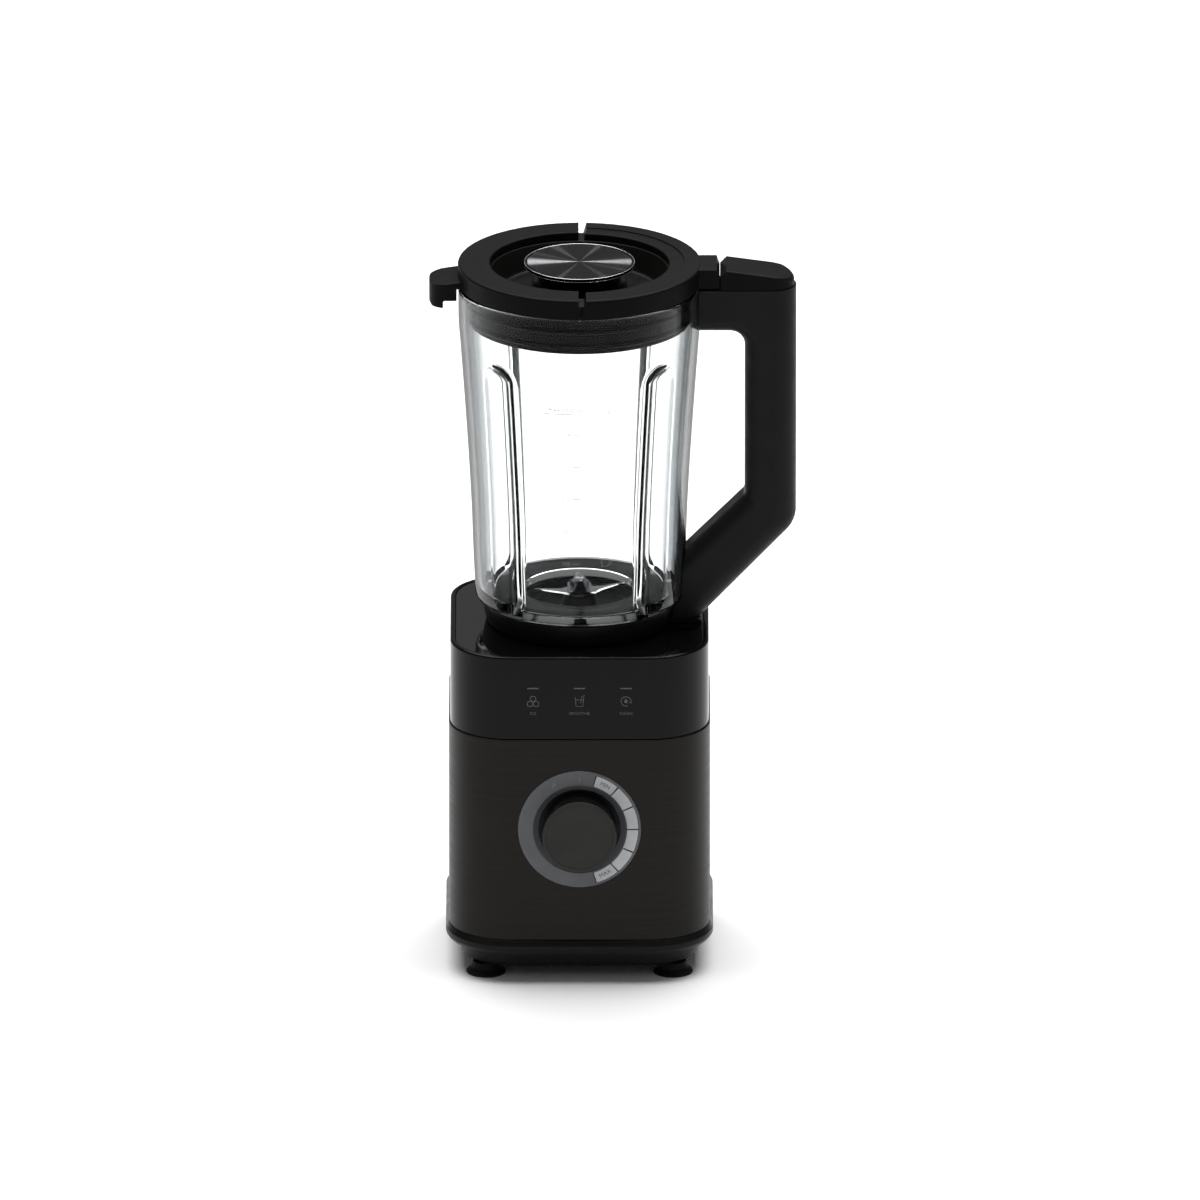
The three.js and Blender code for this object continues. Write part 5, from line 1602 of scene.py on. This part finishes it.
@dataclass
class Jug:
    """The pressed glass jug, its printed scale, collar, seal and blade base."""

    wall: float = 3.9
    outline: tuple[Point, ...] = (
        (63.5, 229.0), (64.7, 253.0), (66.1, 290.0), (69.1, 340.0),
        (72.6, 389.0), (73.6, 402.0), (73.8, 426.5),
    )
    foot: float = 225.0
    floor: float = 230.0
    floor_corner: float = 4.0
    lip: float = 0.8
    opening: float = 34.2
    flute_first: float = 45.0
    flute_low: float = 239.0
    flute_top: float = 377.5
    groove_width: float = 10.6
    groove_depth: float = 7.0
    ridge_width: float = 13.6
    ridge_depth: float = 7.4
    print_height: float = 0.06
    mark_lowest: float = 267.2
    mark_step: float = 21.2
    mark_count: int = 5

    def build(self) -> None:
        """Build the jug's fixed pieces."""
        self.glass()
        self.scale()
        self.collar()
        self.blade_base()

    def radius_at(self, height: float) -> float:
        """Give the outer radius at a height, on a smooth curve through the outline's points.

        Args:
            height: Millimetres above the floor.

        Returns:
            The radius in millimetres.
        """
        points = self.outline
        height = min(max(height, points[0][1]), points[-1][1])
        index = next(k for k in range(len(points) - 1) if height <= points[k + 1][1])
        slopes = []
        for k in (index, index + 1):
            low = points[max(k - 1, 0)]
            high = points[min(k + 1, len(points) - 1)]
            slopes.append((high[0] - low[0]) / (high[1] - low[1]))
        (r0, z0), (r1, z1) = points[index], points[index + 1]
        span = z1 - z0
        t = (height - z0) / span
        keep = (1 + 2 * t) * (1 - t) ** 2 * r0 + t * t * (3 - 2 * t) * r1
        bend = t * (1 - t) ** 2 * span * slopes[0] + t * t * (t - 1) * span * slopes[1]
        return keep + bend

    def dent(self, aside: float, height: float, width: float, depth: float) -> float:
        """Give how deep a flute is at a place on the wall.

        Args:
            aside: Distance from the flute's middle line.
            height: Height above the floor.
            width: Half the flute's width.
            depth: Its full depth.

        Returns:
            The depth there, 0 outside the flute.
        """
        beyond = max(0.0, height - self.flute_top, self.flute_low - height)
        share = math.hypot(aside, beyond) / width
        return depth * (1 - share * share) ** 1.5 if share < 1 else 0.0

    def glass(self) -> None:
        """Press the glass: a fluted wall, a rounded rim and a floor ring."""
        rim_radius = self.wall / 2
        top = self.outline[-1][1]
        rim_centre = top - rim_radius
        outer_rows = [self.outline[0][1]]
        for end, count in ((378.0, 50), (396.0, 16), (rim_centre, 6)):
            start = outer_rows[-1]
            outer_rows += [start + k * (end - start) / count for k in range(1, count + 1)]
        outer = Vector((60.0, self.foot))
        low_lip = Vector((self.opening, self.foot))
        high_lip = Vector((self.opening, self.floor))
        plain = fillet(low_lip, high_lip, outer, self.lip, 4)
        plain += [(48.0, self.foot), (59.6, self.foot), (61.2, 225.35), (62.4, 226.2), (63.1, 227.5)]
        rows = [(r, z, 0.0, 0.0) for r, z in plain]
        rows += [(self.radius_at(z), z, self.groove_width, self.groove_depth) for z in outer_rows]
        middle = self.radius_at(rim_centre) - rim_radius
        rows += [(middle + x, rim_centre + y, 0.0, 0.0) for x, y in arc(rim_radius, 15, 165, 10)]
        corner = self.floor_corner
        inner_rows = [z for z in reversed(outer_rows) if z > self.floor + corner + 0.5]
        rows += [(self.radius_at(z) - self.wall, z, self.ridge_width, self.ridge_depth) for z in inner_rows]
        inside = self.radius_at(self.floor) - self.wall - corner
        for x, y in arc(corner, 0, -90, 6):
            rows.append((inside + x, self.floor + corner + y, self.ridge_width, self.ridge_depth))
        inner = Vector((50.0, self.floor))
        plain = [(45.0, self.floor)] + fillet(high_lip, inner, low_lip, self.lip, 4)
        rows += [(r, z, 0.0, 0.0) for r, z in plain]
        loops = []
        for radius, height, width, depth in rows:
            loop = []
            for degrees in self.turns():
                past = math.radians((degrees - self.flute_first + 45) % 90 - 45)
                dent = self.dent(radius * math.sin(past), height, width, depth) if width else 0.0
                angle = math.radians(degrees)
                reach = radius - dent
                loop.append(Vector((reach * math.cos(angle), reach * math.sin(angle), height)))
            loops.append(loop)
        piece = Solid.loft(loops, wrap=True).to_object("glass_jug_pressed")
        settle(piece, Body.JUG, CLEAR_GLASS, ["glass_jug"])

    def turns(self) -> list[float]:
        """Give the angles of the jug's upright lines, closer together across each flute.

        Returns:
            The angles in degrees.
        """
        near = [-14 + 28 * k / 30 for k in range(31)]
        far = [14 + 62 * k / 18 for k in range(1, 18)]
        return [self.flute_first + 90 * quarter + past for quarter in range(4) for past in near + far]

    def wrap(self, piece: bpy.types.Object) -> bpy.types.Object:
        """Bend a flat print round the outside of the glass.

        Args:
            piece: Drawn flat: X to the right, Y up from the floor, Z out of the glass.

        Returns:
            The same piece, lying on the front of the glass.
        """
        for vertex in piece.data.vertices:
            aside, height, proud = vertex.co / MM
            radius = self.radius_at(height)
            angle = aside / radius
            reach = (radius + 0.03 + proud) * MM
            place = Vector((reach * math.sin(angle), -reach * math.cos(angle), height * MM))
            vertex.co = DRIVE_AXIS + place
        return piece

    def scale(self) -> None:
        """Print the measure: lines, figures and cup signs up the front."""
        flat = Matrix.Identity(4)
        lowest, step, count = self.mark_lowest, self.mark_step, self.mark_count
        line = Solid.box((-4.4, lowest - 0.2, 0.0), (0.4, lowest + 0.2, self.print_height))
        row = Copies(Layout.ROW, count=count, offset=(0.0, step, 0.0))
        lines = row.of(line, "jug_scale_lines", GLASS_INK, flat)
        settle(self.wrap(lines), Body.JUG)
        line = Solid.box((-21.4, 365.0, 0.0), (3.4, 365.4, self.print_height))
        settle(self.wrap(line.to_object("jug_scale_top", flat)), Body.JUG, GLASS_INK)
        tumbler = [(13.4, 2.2), (13.9, -2.0), (17.6, -2.0), (18.1, 2.2), (13.4, 2.2)]
        cup = Solid.stroke(tumbler, 0.3, self.print_height)
        ear = Solid.stroke([(18.0, 1.2), (20.4, 0.9), (19.6, -0.9), (17.8, -0.9)], 0.3, self.print_height)
        unit = cup.with_solids(ear).moved(Matrix.Translation((0.0, lowest, 0.0)))
        cups = Copies(Layout.ROW, count=count + 1, offset=(0.0, step * 0.935, 0.0))
        settle(self.wrap(cups.of(unit, "jug_scale_cups", GLASS_INK, flat)), Body.JUG)
        for index in range(count):
            height = lowest + index * step
            figures = str(500 + 250 * index)
            place = mm_shift(-8.0, height)
            number = lettering(f"jug_scale_{figures}", figures, 2.4, self.print_height, place)
            settle(self.wrap(number), Body.JUG, GLASS_INK)
        word = lettering("jug_scale_max", "MAX 1750 ml", 2.6, self.print_height, mm_shift(-9.0, 367.8))
        settle(self.wrap(word), Body.JUG, GLASS_INK)

    def collar(self) -> None:
        """Mould the collar under the glass, with its tab for the handle, and its seal."""
        box = Extent.of("jug_collar")
        low, high = box.low.z, box.high.z
        profile = rounded([
            (48.0, low, 0.6), (56.7, low, 1.2),
            (58.4, low + 7.3, 6.0), (59.4, high - 0.8, 1.0),
            (58.6, high, 0.6), (43.6, high, 0.4), (43.6, low + 8.5), (38.2, low + 8.5, 0.3),
            (38.2, low + 5.5, 0.3), (48.0, low + 5.5, 0.6),
        ], 5)
        piece = Solid.turned(profile, 160).to_object("jug_collar_moulded")
        outline = rounded([(52.7, -12.0), (74.0, -12.0, 2.5), (74.0, 12.0, 2.5), (52.7, 12.0)])
        combine(piece, Join.ADD, Solid.extruded(outline, low, low + 3.3, 0.5))
        screw = Extent.of("handle_screw").centre
        combine(piece, Join.CUT, Solid.rod(3.7, low - 1, low + 2.2, (screw.x, 0.0)))
        combine(piece, Join.CUT, Solid.rod(2.2, low - 1, low + 6.0, (screw.x, 0.0)))
        settle(piece, Body.JUG, BLACK_PLASTIC, ["jug_collar"])
        rib = Solid.box((47.2, -0.6, low + 0.4), (48.2, 0.6, low + 5.6))
        ribs = RIB_RING.of(rib, "jug_collar_ribs", BLACK_PLASTIC)
        settle(ribs, Body.JUG)
        seal = Extent.of("jug_gasket")
        profile = rounded([
            (34.3, seal.low.z, 0.5), (43.2, seal.low.z, 0.5),
            (43.2, seal.high.z, 0.5), (34.3, seal.high.z, 0.5),
        ])
        piece = Solid.turned(profile, 128).to_object("jug_gasket_ring")
        settle(piece, Body.JUG, SEAL_RUBBER, ["jug_gasket"])

    def blade_base(self) -> None:
        """Mould the cup that closes the jug and carries the blades."""
        box = Extent.of("blade_base")
        profile = rounded([
            (6.9, box.low.z), (10.4, box.low.z, 0.6),
            (10.4, 213.8, 0.8), (37.8, 213.8, 1.2), (37.8, 219.5), (43.2, 219.5, 0.4),
            (43.2, 222.6, 0.4), (33.8, 222.6, 0.8), (31.5, 217.4, 2.4), (11.2, 217.4, 3.0),
            (9.2, box.high.z, 0.8), (6.9, box.high.z, 0.3),
        ], 6)
        piece = Solid.turned(profile, 128).to_object("blade_base_moulded")
        settle(piece, Body.JUG, BLACK_PLASTIC, ["blade_base"])


@dataclass
class BladeUnit:
    """The two bent blades, their nut and shaft, and the two halves of the drive coupling."""

    sheet: float = 1.8
    flat: float = 8.5
    root: float = 7.2
    waist: float = 4.4
    tip: float = 0.7
    bevel: float = 1.5
    bend: float = 3.0
    nut: float = 5.8
    star_radius: float = 7.75
    star_lobe: float = 1.25

    def build(self) -> None:
        """Build the turning pieces."""
        upper = Extent.of("upper_blade")
        lower = Extent.of("lower_blade")
        self.blade("upper_blade", upper.low.z, 25.0, (upper.high.z - upper.low.z - self.sheet, 1.5), 92.0)
        self.blade("lower_blade", lower.low.z, 28.0, (lower.high.z - lower.low.z - self.sheet,) * 2, 12.0)
        self.fasten()
        self.couplings()

    def blade(self, node: str, height: float, reach: float, rises: Point, yaw: float) -> None:
        """Bend and grind one two-armed blade.

        Args:
            node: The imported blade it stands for.
            height: The underside of its flat middle.
            reach: Each arm's length from the axis.
            rises: How far each tip stands above the middle.
            yaw: Its turn about the axis in degrees.
        """
        bend = self.bend
        stations = [self.flat * k / 4 for k in range(4)]
        stations += [self.flat + (reach - self.flat) * (k / 16) for k in range(17)]
        loops = []
        for x in [-s for s in reversed(stations[1:])] + stations:
            out = abs(x)
            share = max(0.0, (out - self.flat) / (reach - self.flat))
            past = max(0.0, out - self.flat)
            soft = past * past / (2 * bend) if past < bend else past - bend / 2
            lift = rises[x > 0] * soft / (reach - self.flat - bend / 2)
            half = self.root
            if out > self.flat:
                slim = (self.waist - self.tip) * (1 - share) ** 0.8
                flare = (self.root - self.waist) * (1 - share) ** 9
                half = self.tip + slim + flare
            edge = min(self.bevel, half * 0.45)
            thick = self.sheet * (1 - 0.55 * share)
            low, high = height + lift, height + lift + thick
            middle = (low + high) / 2
            section = ((-half, middle), (-half + edge, low), (half - edge, low),
                       (half, middle), (half - edge, high), (-half + edge, high))
            loops.append([Vector((x, y, z)) for y, z in section])
        turned = Solid.loft(loops).moved(Matrix.Rotation(math.radians(yaw), 4, "Z"))
        piece = turned.to_object(f"{node}_ground")
        settle(piece, Body.BLADES, BLADE_STEEL, [node])

    def fasten(self) -> None:
        """Make the domed hexagon nut and the shaft through it."""
        box = Extent.of("blade_nut")
        hexagon = arc(self.nut, 0, 300, 5)
        nut = Solid.extruded(hexagon, box.low.z, box.high.z, 0.7).to_object("blade_nut_hexagon")
        settle(nut, Body.BLADES, BLADE_STEEL, ["blade_nut"])
        shaft = Extent.of("blade_shaft")
        profile = rounded([
            (0.0, shaft.low.z), (3.5, shaft.low.z, 0.4), (3.5, shaft.high.z, 1.4), (0.0, shaft.high.z)])
        piece = Solid.turned(profile, 40).to_object("blade_shaft_turned")
        settle(piece, Body.BLADES, PLAIN_STEEL, ["blade_shaft"])

    def star(self, extra: float) -> list[Point]:
        """Draw the six-lobed outline that drives the blades.

        Args:
            extra: How far it stands outside the plain star.

        Returns:
            The outline, anticlockwise.
        """
        outline = []
        for step in range(96):
            angle = math.tau * step / 96
            radius = self.star_radius + extra + self.star_lobe * math.cos(6 * angle)
            outline.append((radius * math.cos(angle), radius * math.sin(angle)))
        return outline

    def couplings(self) -> None:
        """Make the motor's star and the socket that sits over it."""
        box = Extent.of("drive_coupling")
        profile = rounded([
            (4.3, box.low.z), (15.0, box.low.z, 0.5), (15.0, box.low.z + 4.0, 0.8), (4.3, box.low.z + 4.0)])
        piece = Solid.turned(profile, 72).to_object("drive_coupling_star")
        star = Solid.extruded(self.star(0.0), box.low.z + 3.0, box.high.z, 0.6)
        combine(piece, Join.ADD, star)
        settle(piece, Body.ROTOR, PLAIN_STEEL, ["drive_coupling"])
        box = Extent.of("driven_coupling")
        profile = rounded([
            (3.8, box.low.z), (box.radius, box.low.z, 0.5), (box.radius, box.high.z, 1.2), (3.8, box.high.z)])
        piece = Solid.turned(profile, 72).to_object("driven_coupling_socket")
        combine(piece, Join.CUT, Solid.extruded(self.star(0.4), box.low.z - 2, box.low.z + 7.4))
        settle(piece, Body.BLADES, BLACK_PLASTIC, ["driven_coupling"])


# --- handle


@dataclass
class Handle:
    """The grip with its rounded edges, and the cap that closes its top."""

    jug: Jug
    clearance: float = 0.35
    root: float = 50.0
    grip_inner: float = 100.6
    block: float = 398.0
    elbow: float = 292.5
    inner_edge: float = 9.0
    outer_edge: float = 14.5
    slant: float = 241.8

    def build(self) -> None:
        """Build the handle and its cap."""
        self.body()
        self.cap()

    def body(self) -> None:
        """Mould the grip and trim its roots to the glass and the collar."""
        box = Extent.of("handle_body")
        outer, top, foot = box.high.x, box.high.z, box.low.z
        corners = [
            Side(self.root, foot, 0.0, 1.0), Side(74.4, foot, 2.0, 12.0),
            Side(outer, 274.9, 17.0, self.outer_edge), Side(outer, top, 0.0, 0.5),
            Side(self.root, top, 0.0, 0.5),
            Side(self.root, self.block, 0.0, self.inner_edge),
            Side(self.grip_inner, self.block, 9.0, self.inner_edge),
            Side(self.grip_inner, self.elbow, 4.0, self.inner_edge),
            Side(self.root, self.slant, 0.0, 1.0),
        ]
        piece = sided(corners, box.high.y, 10).to_object("handle_body_moulded")
        heights = [self.jug.outline[0][1] + 12 * k for k in range(17)]
        wall = [(self.jug.radius_at(z) + self.clearance, z) for z in heights]
        envelope = Solid.turned([
            (0.0, foot - 4), (57.6 + self.clearance, foot - 4),
            (59.4 + self.clearance, 224.9), (60.6 + self.clearance, 225.2),
            (62.8 + self.clearance, 226.6),
            *wall,
            (wall[-1][0], top + 12), (0.0, top + 12),
        ], 192)
        combine(piece, Join.CUT, envelope)
        screw = Extent.of("handle_screw")
        combine(piece, Join.CUT, Solid.rod(2.2, foot - 2, screw.high.z + 0.3, (screw.centre.x, 0.0), 24))
        settle(piece, Body.JUG, SOFT_PLASTIC, ["handle_body"])

    def cap(self) -> None:
        """Mould the cap, whose back slopes down and rolls over the end."""
        box = Extent.of("handle_top_cap")
        left, right, low = box.low.x, box.high.x, box.low.z
        corners = [
            Side(left, low, 0.0, 0.4), Side(right, low, 0.0, 14.0),
            Side(right, 431.4, 4.0, 1.5), Side(117.4, 434.6, 30.0, 1.5),
            Side(89.6, box.high.z, 0.8, 1.2), Side(left, 434.2, 0.6, 0.8),
        ]
        piece = sided(corners, box.high.y, 10).to_object("handle_top_cap_moulded")
        settle(piece, Body.JUG, LID_PLASTIC, ["handle_top_cap"])


# --- lid


@dataclass
class Lid:
    """The lid's body and seal, and the two cover halves with the beak and the tab."""

    cover_inner: float = 54.6
    cover_thickness: float = 5.0
    cover_wall: float = 4.4
    step_radius: float = 64.0
    step_depth: float = 0.8
    slit_left: float = -0.6
    slit_low: float = 0.7
    slit_high: float = 4.2
    half_steps: int = 110
    beak_half: float = 16.5
    tab_half_width: float = 14.5
    edge: float = 1.4
    plug_deeper: float = 2.2
    low: float = 427.0

    def __post_init__(self) -> None:
        """Find the cover's place."""
        self.box = Extent.of("lid_spout_ring")
        self.outer = self.box.high.y
        self.high = self.box.high.z

    def build(self) -> None:
        """Build the lid's pieces."""
        self.body()
        self.seal()
        self.spout_half()
        self.tab_half()

    def body(self) -> None:
        """Mould the body: the plug, the conical well and the cap's socket."""
        low = Extent.of("lid_body").low.z - self.plug_deeper
        flange = 434.3
        profile = rounded([
            (26.0, 409.0, 0.6), (29.0, 409.0, 0.6), (29.0, 417.0, 1.0), (64.5, 417.0, 2.0),
            (64.5, low, 0.6), (66.6, low, 0.6), (66.6, 418.8), (67.6, 418.8, 0.2),
            (67.6, self.low), (69.3, self.low, 0.3),
            (69.3, flange, 0.3), (self.cover_inner - 0.6, flange, 0.8),
            (49.5, 420.0, 2.5), (29.0, 420.0, 1.2), (29.0, 426.0, 0.8), (26.0, 426.0, 0.6),
        ], 6)
        piece = Solid.turned(profile, 160).to_object("lid_body_moulded")
        settle(piece, Body.LID, BLACK_PLASTIC, ["lid_body"])

    def seal(self) -> None:
        """Mould the seal round the plug, with two soft lips."""
        box = Extent.of("lid_gasket")
        inner, sleeve, lip = 66.9, 68.1, box.radius
        low, high = box.low.z, box.high.z
        profile = rounded([
            (inner, low, 0.4), (sleeve, low, 0.4),
            (lip, low + 1.2, 0.5), (lip, low + 3.0, 0.9),
            (sleeve, low + 3.4, 0.4), (sleeve, high - 2.4, 0.4),
            (lip, high - 1.9, 0.5), (lip, high, 0.8), (inner, high, 0.3),
        ], 4)
        piece = Solid.turned(profile, 160).to_object("lid_gasket_lips")
        settle(piece, Body.LID, SEAL_RUBBER, ["lid_gasket"])

    def section(self, *lip: Corner) -> list[Point]:
        """Draw the cover's section.

        Args:
            lip: The corners at the top of its inner edge.

        Returns:
            The closed section as (radius, height).
        """
        under = self.high - self.cover_thickness
        wall = self.outer - self.cover_wall
        return rounded([
            (wall, self.low, 0.4), (self.outer, self.low, 0.5),
            (self.outer, self.high, self.edge),
            *lip,
            (self.cover_inner, under, 0.3), (wall, under),
        ], 5)

    def half(self, profile: Sequence[Point], side: int, cut: Callable[[float], float]) -> Solid:
        """Turn half a ring, ended by two flat cuts across X.

        Args:
            profile: The ring's closed section as (radius, height).
            side: 1 for the half at +X and -1 for the half at -X.
            cut: The X of the cut at a height.

        Returns:
            The half ring.
        """
        loops = []
        steps = self.half_steps
        for step in range(steps + 1):
            loop = []
            for radius, height in profile:
                corner = math.acos(cut(height) / radius)
                start, sweep = (corner, math.tau - 2 * corner) if side < 0 else (-corner, 2 * corner)
                angle = start + sweep * step / steps
                loop.append(Vector((radius * math.cos(angle), radius * math.sin(angle), height)))
            loops.append(loop)
        return Solid.loft(loops)

    def spout_half(self) -> None:
        """Mould the left half of the cover with the pouring beak."""
        profile = self.section((self.cover_inner, self.high, 0.9))
        piece = self.half(profile, -1, lambda height: self.slit_left).to_object("lid_spout_ring_moulded")
        tip = self.box.low.x
        root = -(self.outer - 3.0)
        back = -self.outer - 0.7
        corners = [
            Side(tip, 417.0, 0.8, 0.6), Side(tip + 2.0, self.box.low.z, 0.6, 0.6),
            Side(-83.0, self.box.low.z, 0.8, 0.6), Side(-83.0, 419.6, 1.0, 0.6),
            Side(back, 419.6, 0.6, 0.6), Side(back, self.low, 0.0, 0.6),
            Side(root, self.low, 0.0, 0.6), Side(root, 431.9, 0.0, 1.0),
            Side(tip, 428.9, 1.2, 1.0),
        ]
        beak = sided(corners, self.beak_half, 5).to_object("beak")
        plan = [(x - 79.5, y + 4.5) for x, y in arc(12.0, 180, 90, 12)]
        plan = [(-60.0, -self.beak_half), (-60.0, self.beak_half)] + plan[::-1] + [(x, -y) for x, y in plan]
        combine(beak, Join.TRIM, Solid.extruded(plan, 405.0, 445.0))
        combine(piece, Join.ADD, Solid.taken(beak))
        settle(piece, Body.LID, LID_PLASTIC, ["lid_spout_ring"])

    def tab_half(self) -> None:
        """Mould the right half of the cover, stepped inside, with the tab that meets the handle."""
        inner_top = self.high - self.step_depth
        profile = self.section(
            (self.step_radius, self.high, 0.3), (self.step_radius, inner_top, 0.2),
            (self.cover_inner, inner_top, 0.9),
        )
        rise = (self.slit_high - self.slit_low) / (self.high - self.low)
        slanted = self.half(profile, 1, lambda height: self.slit_low + rise * (height - self.low))
        piece = slanted.to_object("lid_tab_ring_moulded")
        box = Extent.of("lid_tab_ring")
        corners = [
            Side(69.0, self.low, 0.0, 0.6), Side(74.6, box.low.z, 0.3, 0.6),
            Side(box.high.x, box.low.z, 0.6, 0.6), Side(box.high.x, 433.8, 0.8, 0.6),
            Side(83.5, 439.0, 0.7, 0.7), Side(69.0, 439.0, 0.0, 0.6),
        ]
        combine(piece, Join.ADD, sided(corners, self.tab_half_width, 5))
        settle(piece, Body.LID, LID_PLASTIC, ["lid_tab_ring"])


@dataclass
class MeasuringCap:
    """The filler cap: a gloss cup under a faced metal disc."""

    rim: float = 1.6
    neck: float = 25.4
    neck_inner: float = 22.8
    trim: float = 0.25
    lugs: int = 4

    def build(self) -> None:
        """Build the cap and its disc."""
        box = Extent.of("measuring_cap")
        top, radius = box.high.z, box.radius
        disc = Extent.of("cap_disc")
        under = top - 2.4
        profile = rounded([
            (0.0, under - 1.0), (self.neck_inner, under - 1.0, 1.0),
            (self.neck_inner, box.low.z, 0.5),
            (self.neck, box.low.z, 0.5), (self.neck, 426.3),
            (28.4, 426.3, 0.5), (28.4, 428.3, 0.5),
            (self.neck, 428.3), (self.neck, under, 0.6),
            (radius, under, 0.9), (radius, top, 0.7), (radius - self.rim, top, 0.25),
            (radius - self.rim, disc.low.z - 0.1), (0.0, disc.low.z - 0.1),
        ], 5)
        piece = Solid.turned(profile, 160).to_object("measuring_cap_moulded")
        settle(piece, Body.CAP, GLOSS_PLASTIC, ["measuring_cap"])
        plate = Solid.turned(rounded([
            (0.0, disc.low.z), (disc.radius, disc.low.z), (disc.radius, disc.high.z, 0.2), (0.0, disc.high.z),
        ]), 160).to_object("cap_disc_faced")
        settle(plate, Body.CAP, CAP_METAL, ["cap_disc"])
        for name, height in (("upper", top - 0.15), ("lower", under + 0.35)):
            edge = [(radius - self.trim + x, height + y) for x, y in arc(self.trim, 0, 330, 11)]
            band = Solid.turned(edge, 160).to_object(f"measuring_cap_trim_{name}")
            settle(band, Body.CAP, PLAIN_STEEL)
        lug = Solid.box((self.neck - 1, -3.0, 428.6), (29.2, 3.0, 431.6))
        lug = lug.moved(Matrix.Rotation(math.radians(45), 4, "Z"))
        lugs = Copies(Layout.AROUND, count=self.lugs, step=360 / self.lugs)
        settle(lugs.of(lug, "measuring_cap_lugs", GLOSS_PLASTIC), Body.CAP)


# --- studio


@dataclass
class Studio:
    """A pale floor, soft lights and the camera."""

    elevation: float = 19.4
    lens: float = 1500.0
    frame_width: float = 0.732
    aim: tuple[float, float, float] = (12.5, 0.0, 221.2)
    floor_half: float = 14.0
    side_level: float = 0.18
    overhead_power: float = 98
    side_power: float = 2
    levels: tuple[Point, ...] = ((0.0, 0.9), (0.04, 0.34), (0.12, 0.2), (1.0, 0.3))

    def build(self) -> None:
        """Set up the studio."""
        self.floor()
        self.lights()
        self.sky()
        self.camera()

    def floor(self) -> None:
        """Lay the pale floor."""
        half = self.floor_half
        mesh = bpy.data.meshes.new("studio_floor")
        corners = [(-half, -half, 0), (half, -half, 0), (half, half, 0), (-half, half, 0)]
        mesh.from_pydata(corners, [], [(0, 1, 2, 3)])
        made = bpy.data.objects.new("studio_floor", mesh)
        bpy.context.scene.collection.objects.link(made)
        sheet = Sheet("pale_floor")
        sheet.constants(Roughness=0.9, Specular_IOR_Level=0.0)
        slow = sheet.noise((900, 900, 900), 1.0)
        sheet.colour(sheet.ramp(slow, (0.3, (0.9, 0.9, 0.9, 1)), (0.7, (0.92, 0.92, 0.92, 1))))
        mesh.materials.append(sheet.material)

    def light(self, name: str, place: Corner, size: float, power: float, target: Corner) -> None:
        """Hang a square soft light.

        Args:
            name: The light's name.
            place: Where it hangs, in metres from the drive axis.
            size: The side of its square.
            power: Its power in watts.
            target: Where it looks, in metres from the drive axis.
        """
        lamp = bpy.data.lights.new(name, "AREA")
        lamp.shape = "SQUARE"
        lamp.size = size
        lamp.energy = power
        made = bpy.data.objects.new(name, lamp)
        made.location = DRIVE_AXIS + Vector(place)
        made.rotation_euler = (Vector(target) - Vector(place)).to_track_quat("-Z", "Y").to_euler()
        bpy.context.scene.collection.objects.link(made)

    def lights(self) -> None:
        """Hang the overhead light and the two side lights."""
        self.light("overhead", (0.0, 0.55, 2.1), 2.4, self.overhead_power, (0.0, 0.55, 0.0))
        self.light("left", (-2.6, -1.2, 1.7), 1.4, self.side_power, (0.0, 0.0, 0.2))
        self.light("right", (2.6, -1.2, 1.7), 1.4, self.side_power, (0.0, 0.0, 0.2))

    def sky(self) -> None:
        """Light the room from all round: bright above, softer level with the object."""
        world = bpy.data.worlds.new("studio_room")
        world.use_nodes = True
        tree = world.node_tree
        shade = tree.nodes["Background"]
        direction = tree.nodes.new("ShaderNodeTexCoord").outputs["Generated"]
        split = tree.nodes.new("ShaderNodeSeparateXYZ")
        tree.links.new(direction, split.inputs["Vector"])
        ramp = tree.nodes.new("ShaderNodeValToRGB")
        stops = self.levels
        while len(ramp.color_ramp.elements) < len(stops):
            ramp.color_ramp.elements.new(0.5)
        for element, (place, level) in zip(ramp.color_ramp.elements, stops):
            element.position = place
            element.color = (level, level, level, 1)
        tree.links.new(split.outputs["Z"], ramp.inputs["Fac"])
        tree.links.new(ramp.outputs["Color"], shade.inputs["Color"])
        aside = tree.nodes.new("ShaderNodeMath")
        aside.operation = "MULTIPLY"
        tree.links.new(split.outputs["X"], aside.inputs[0])
        tree.links.new(split.outputs["X"], aside.inputs[1])
        dim = tree.nodes.new("ShaderNodeMapRange")
        dim.inputs["To Min"].default_value = 1.0
        dim.inputs["To Max"].default_value = self.side_level
        tree.links.new(aside.outputs["Value"], dim.inputs["Value"])
        tree.links.new(dim.outputs["Result"], shade.inputs["Strength"])
        bpy.context.scene.world = world
        bpy.context.scene.view_settings.view_transform = "Standard"

    def camera(self) -> None:
        """Stand the camera back on its long lens, looking down a little on the front."""
        data = bpy.data.cameras.new("camera")
        data.lens = self.lens
        data.sensor_width = 36.0
        made = bpy.data.objects.new("camera", data)
        tilt = math.radians(self.elevation)
        back = Vector((0.0, -math.cos(tilt), math.sin(tilt)))
        distance = self.frame_width * self.lens / data.sensor_width
        made.location = DRIVE_AXIS + Vector(self.aim) * MM + back * distance
        made.rotation_euler = (-back).to_track_quat("-Z", "Y").to_euler()
        data.clip_end = 100.0
        bpy.context.scene.collection.objects.link(made)
        bpy.context.scene.camera = made


def main() -> None:
    """Build every sub-assembly in order, then the studio."""
    logging.basicConfig(level=logging.INFO, format="%(message)s")
    jug = Jug()
    base = (Base(), ControlBand(), Dial(), InnerParts())
    for part in (*base, jug, BladeUnit(), Handle(jug), Lid(), MeasuringCap()):
        LOG.info("building %s", type(part).__name__)
        part.build()
    Studio().build()


if __name__ == "__main__":
    main()
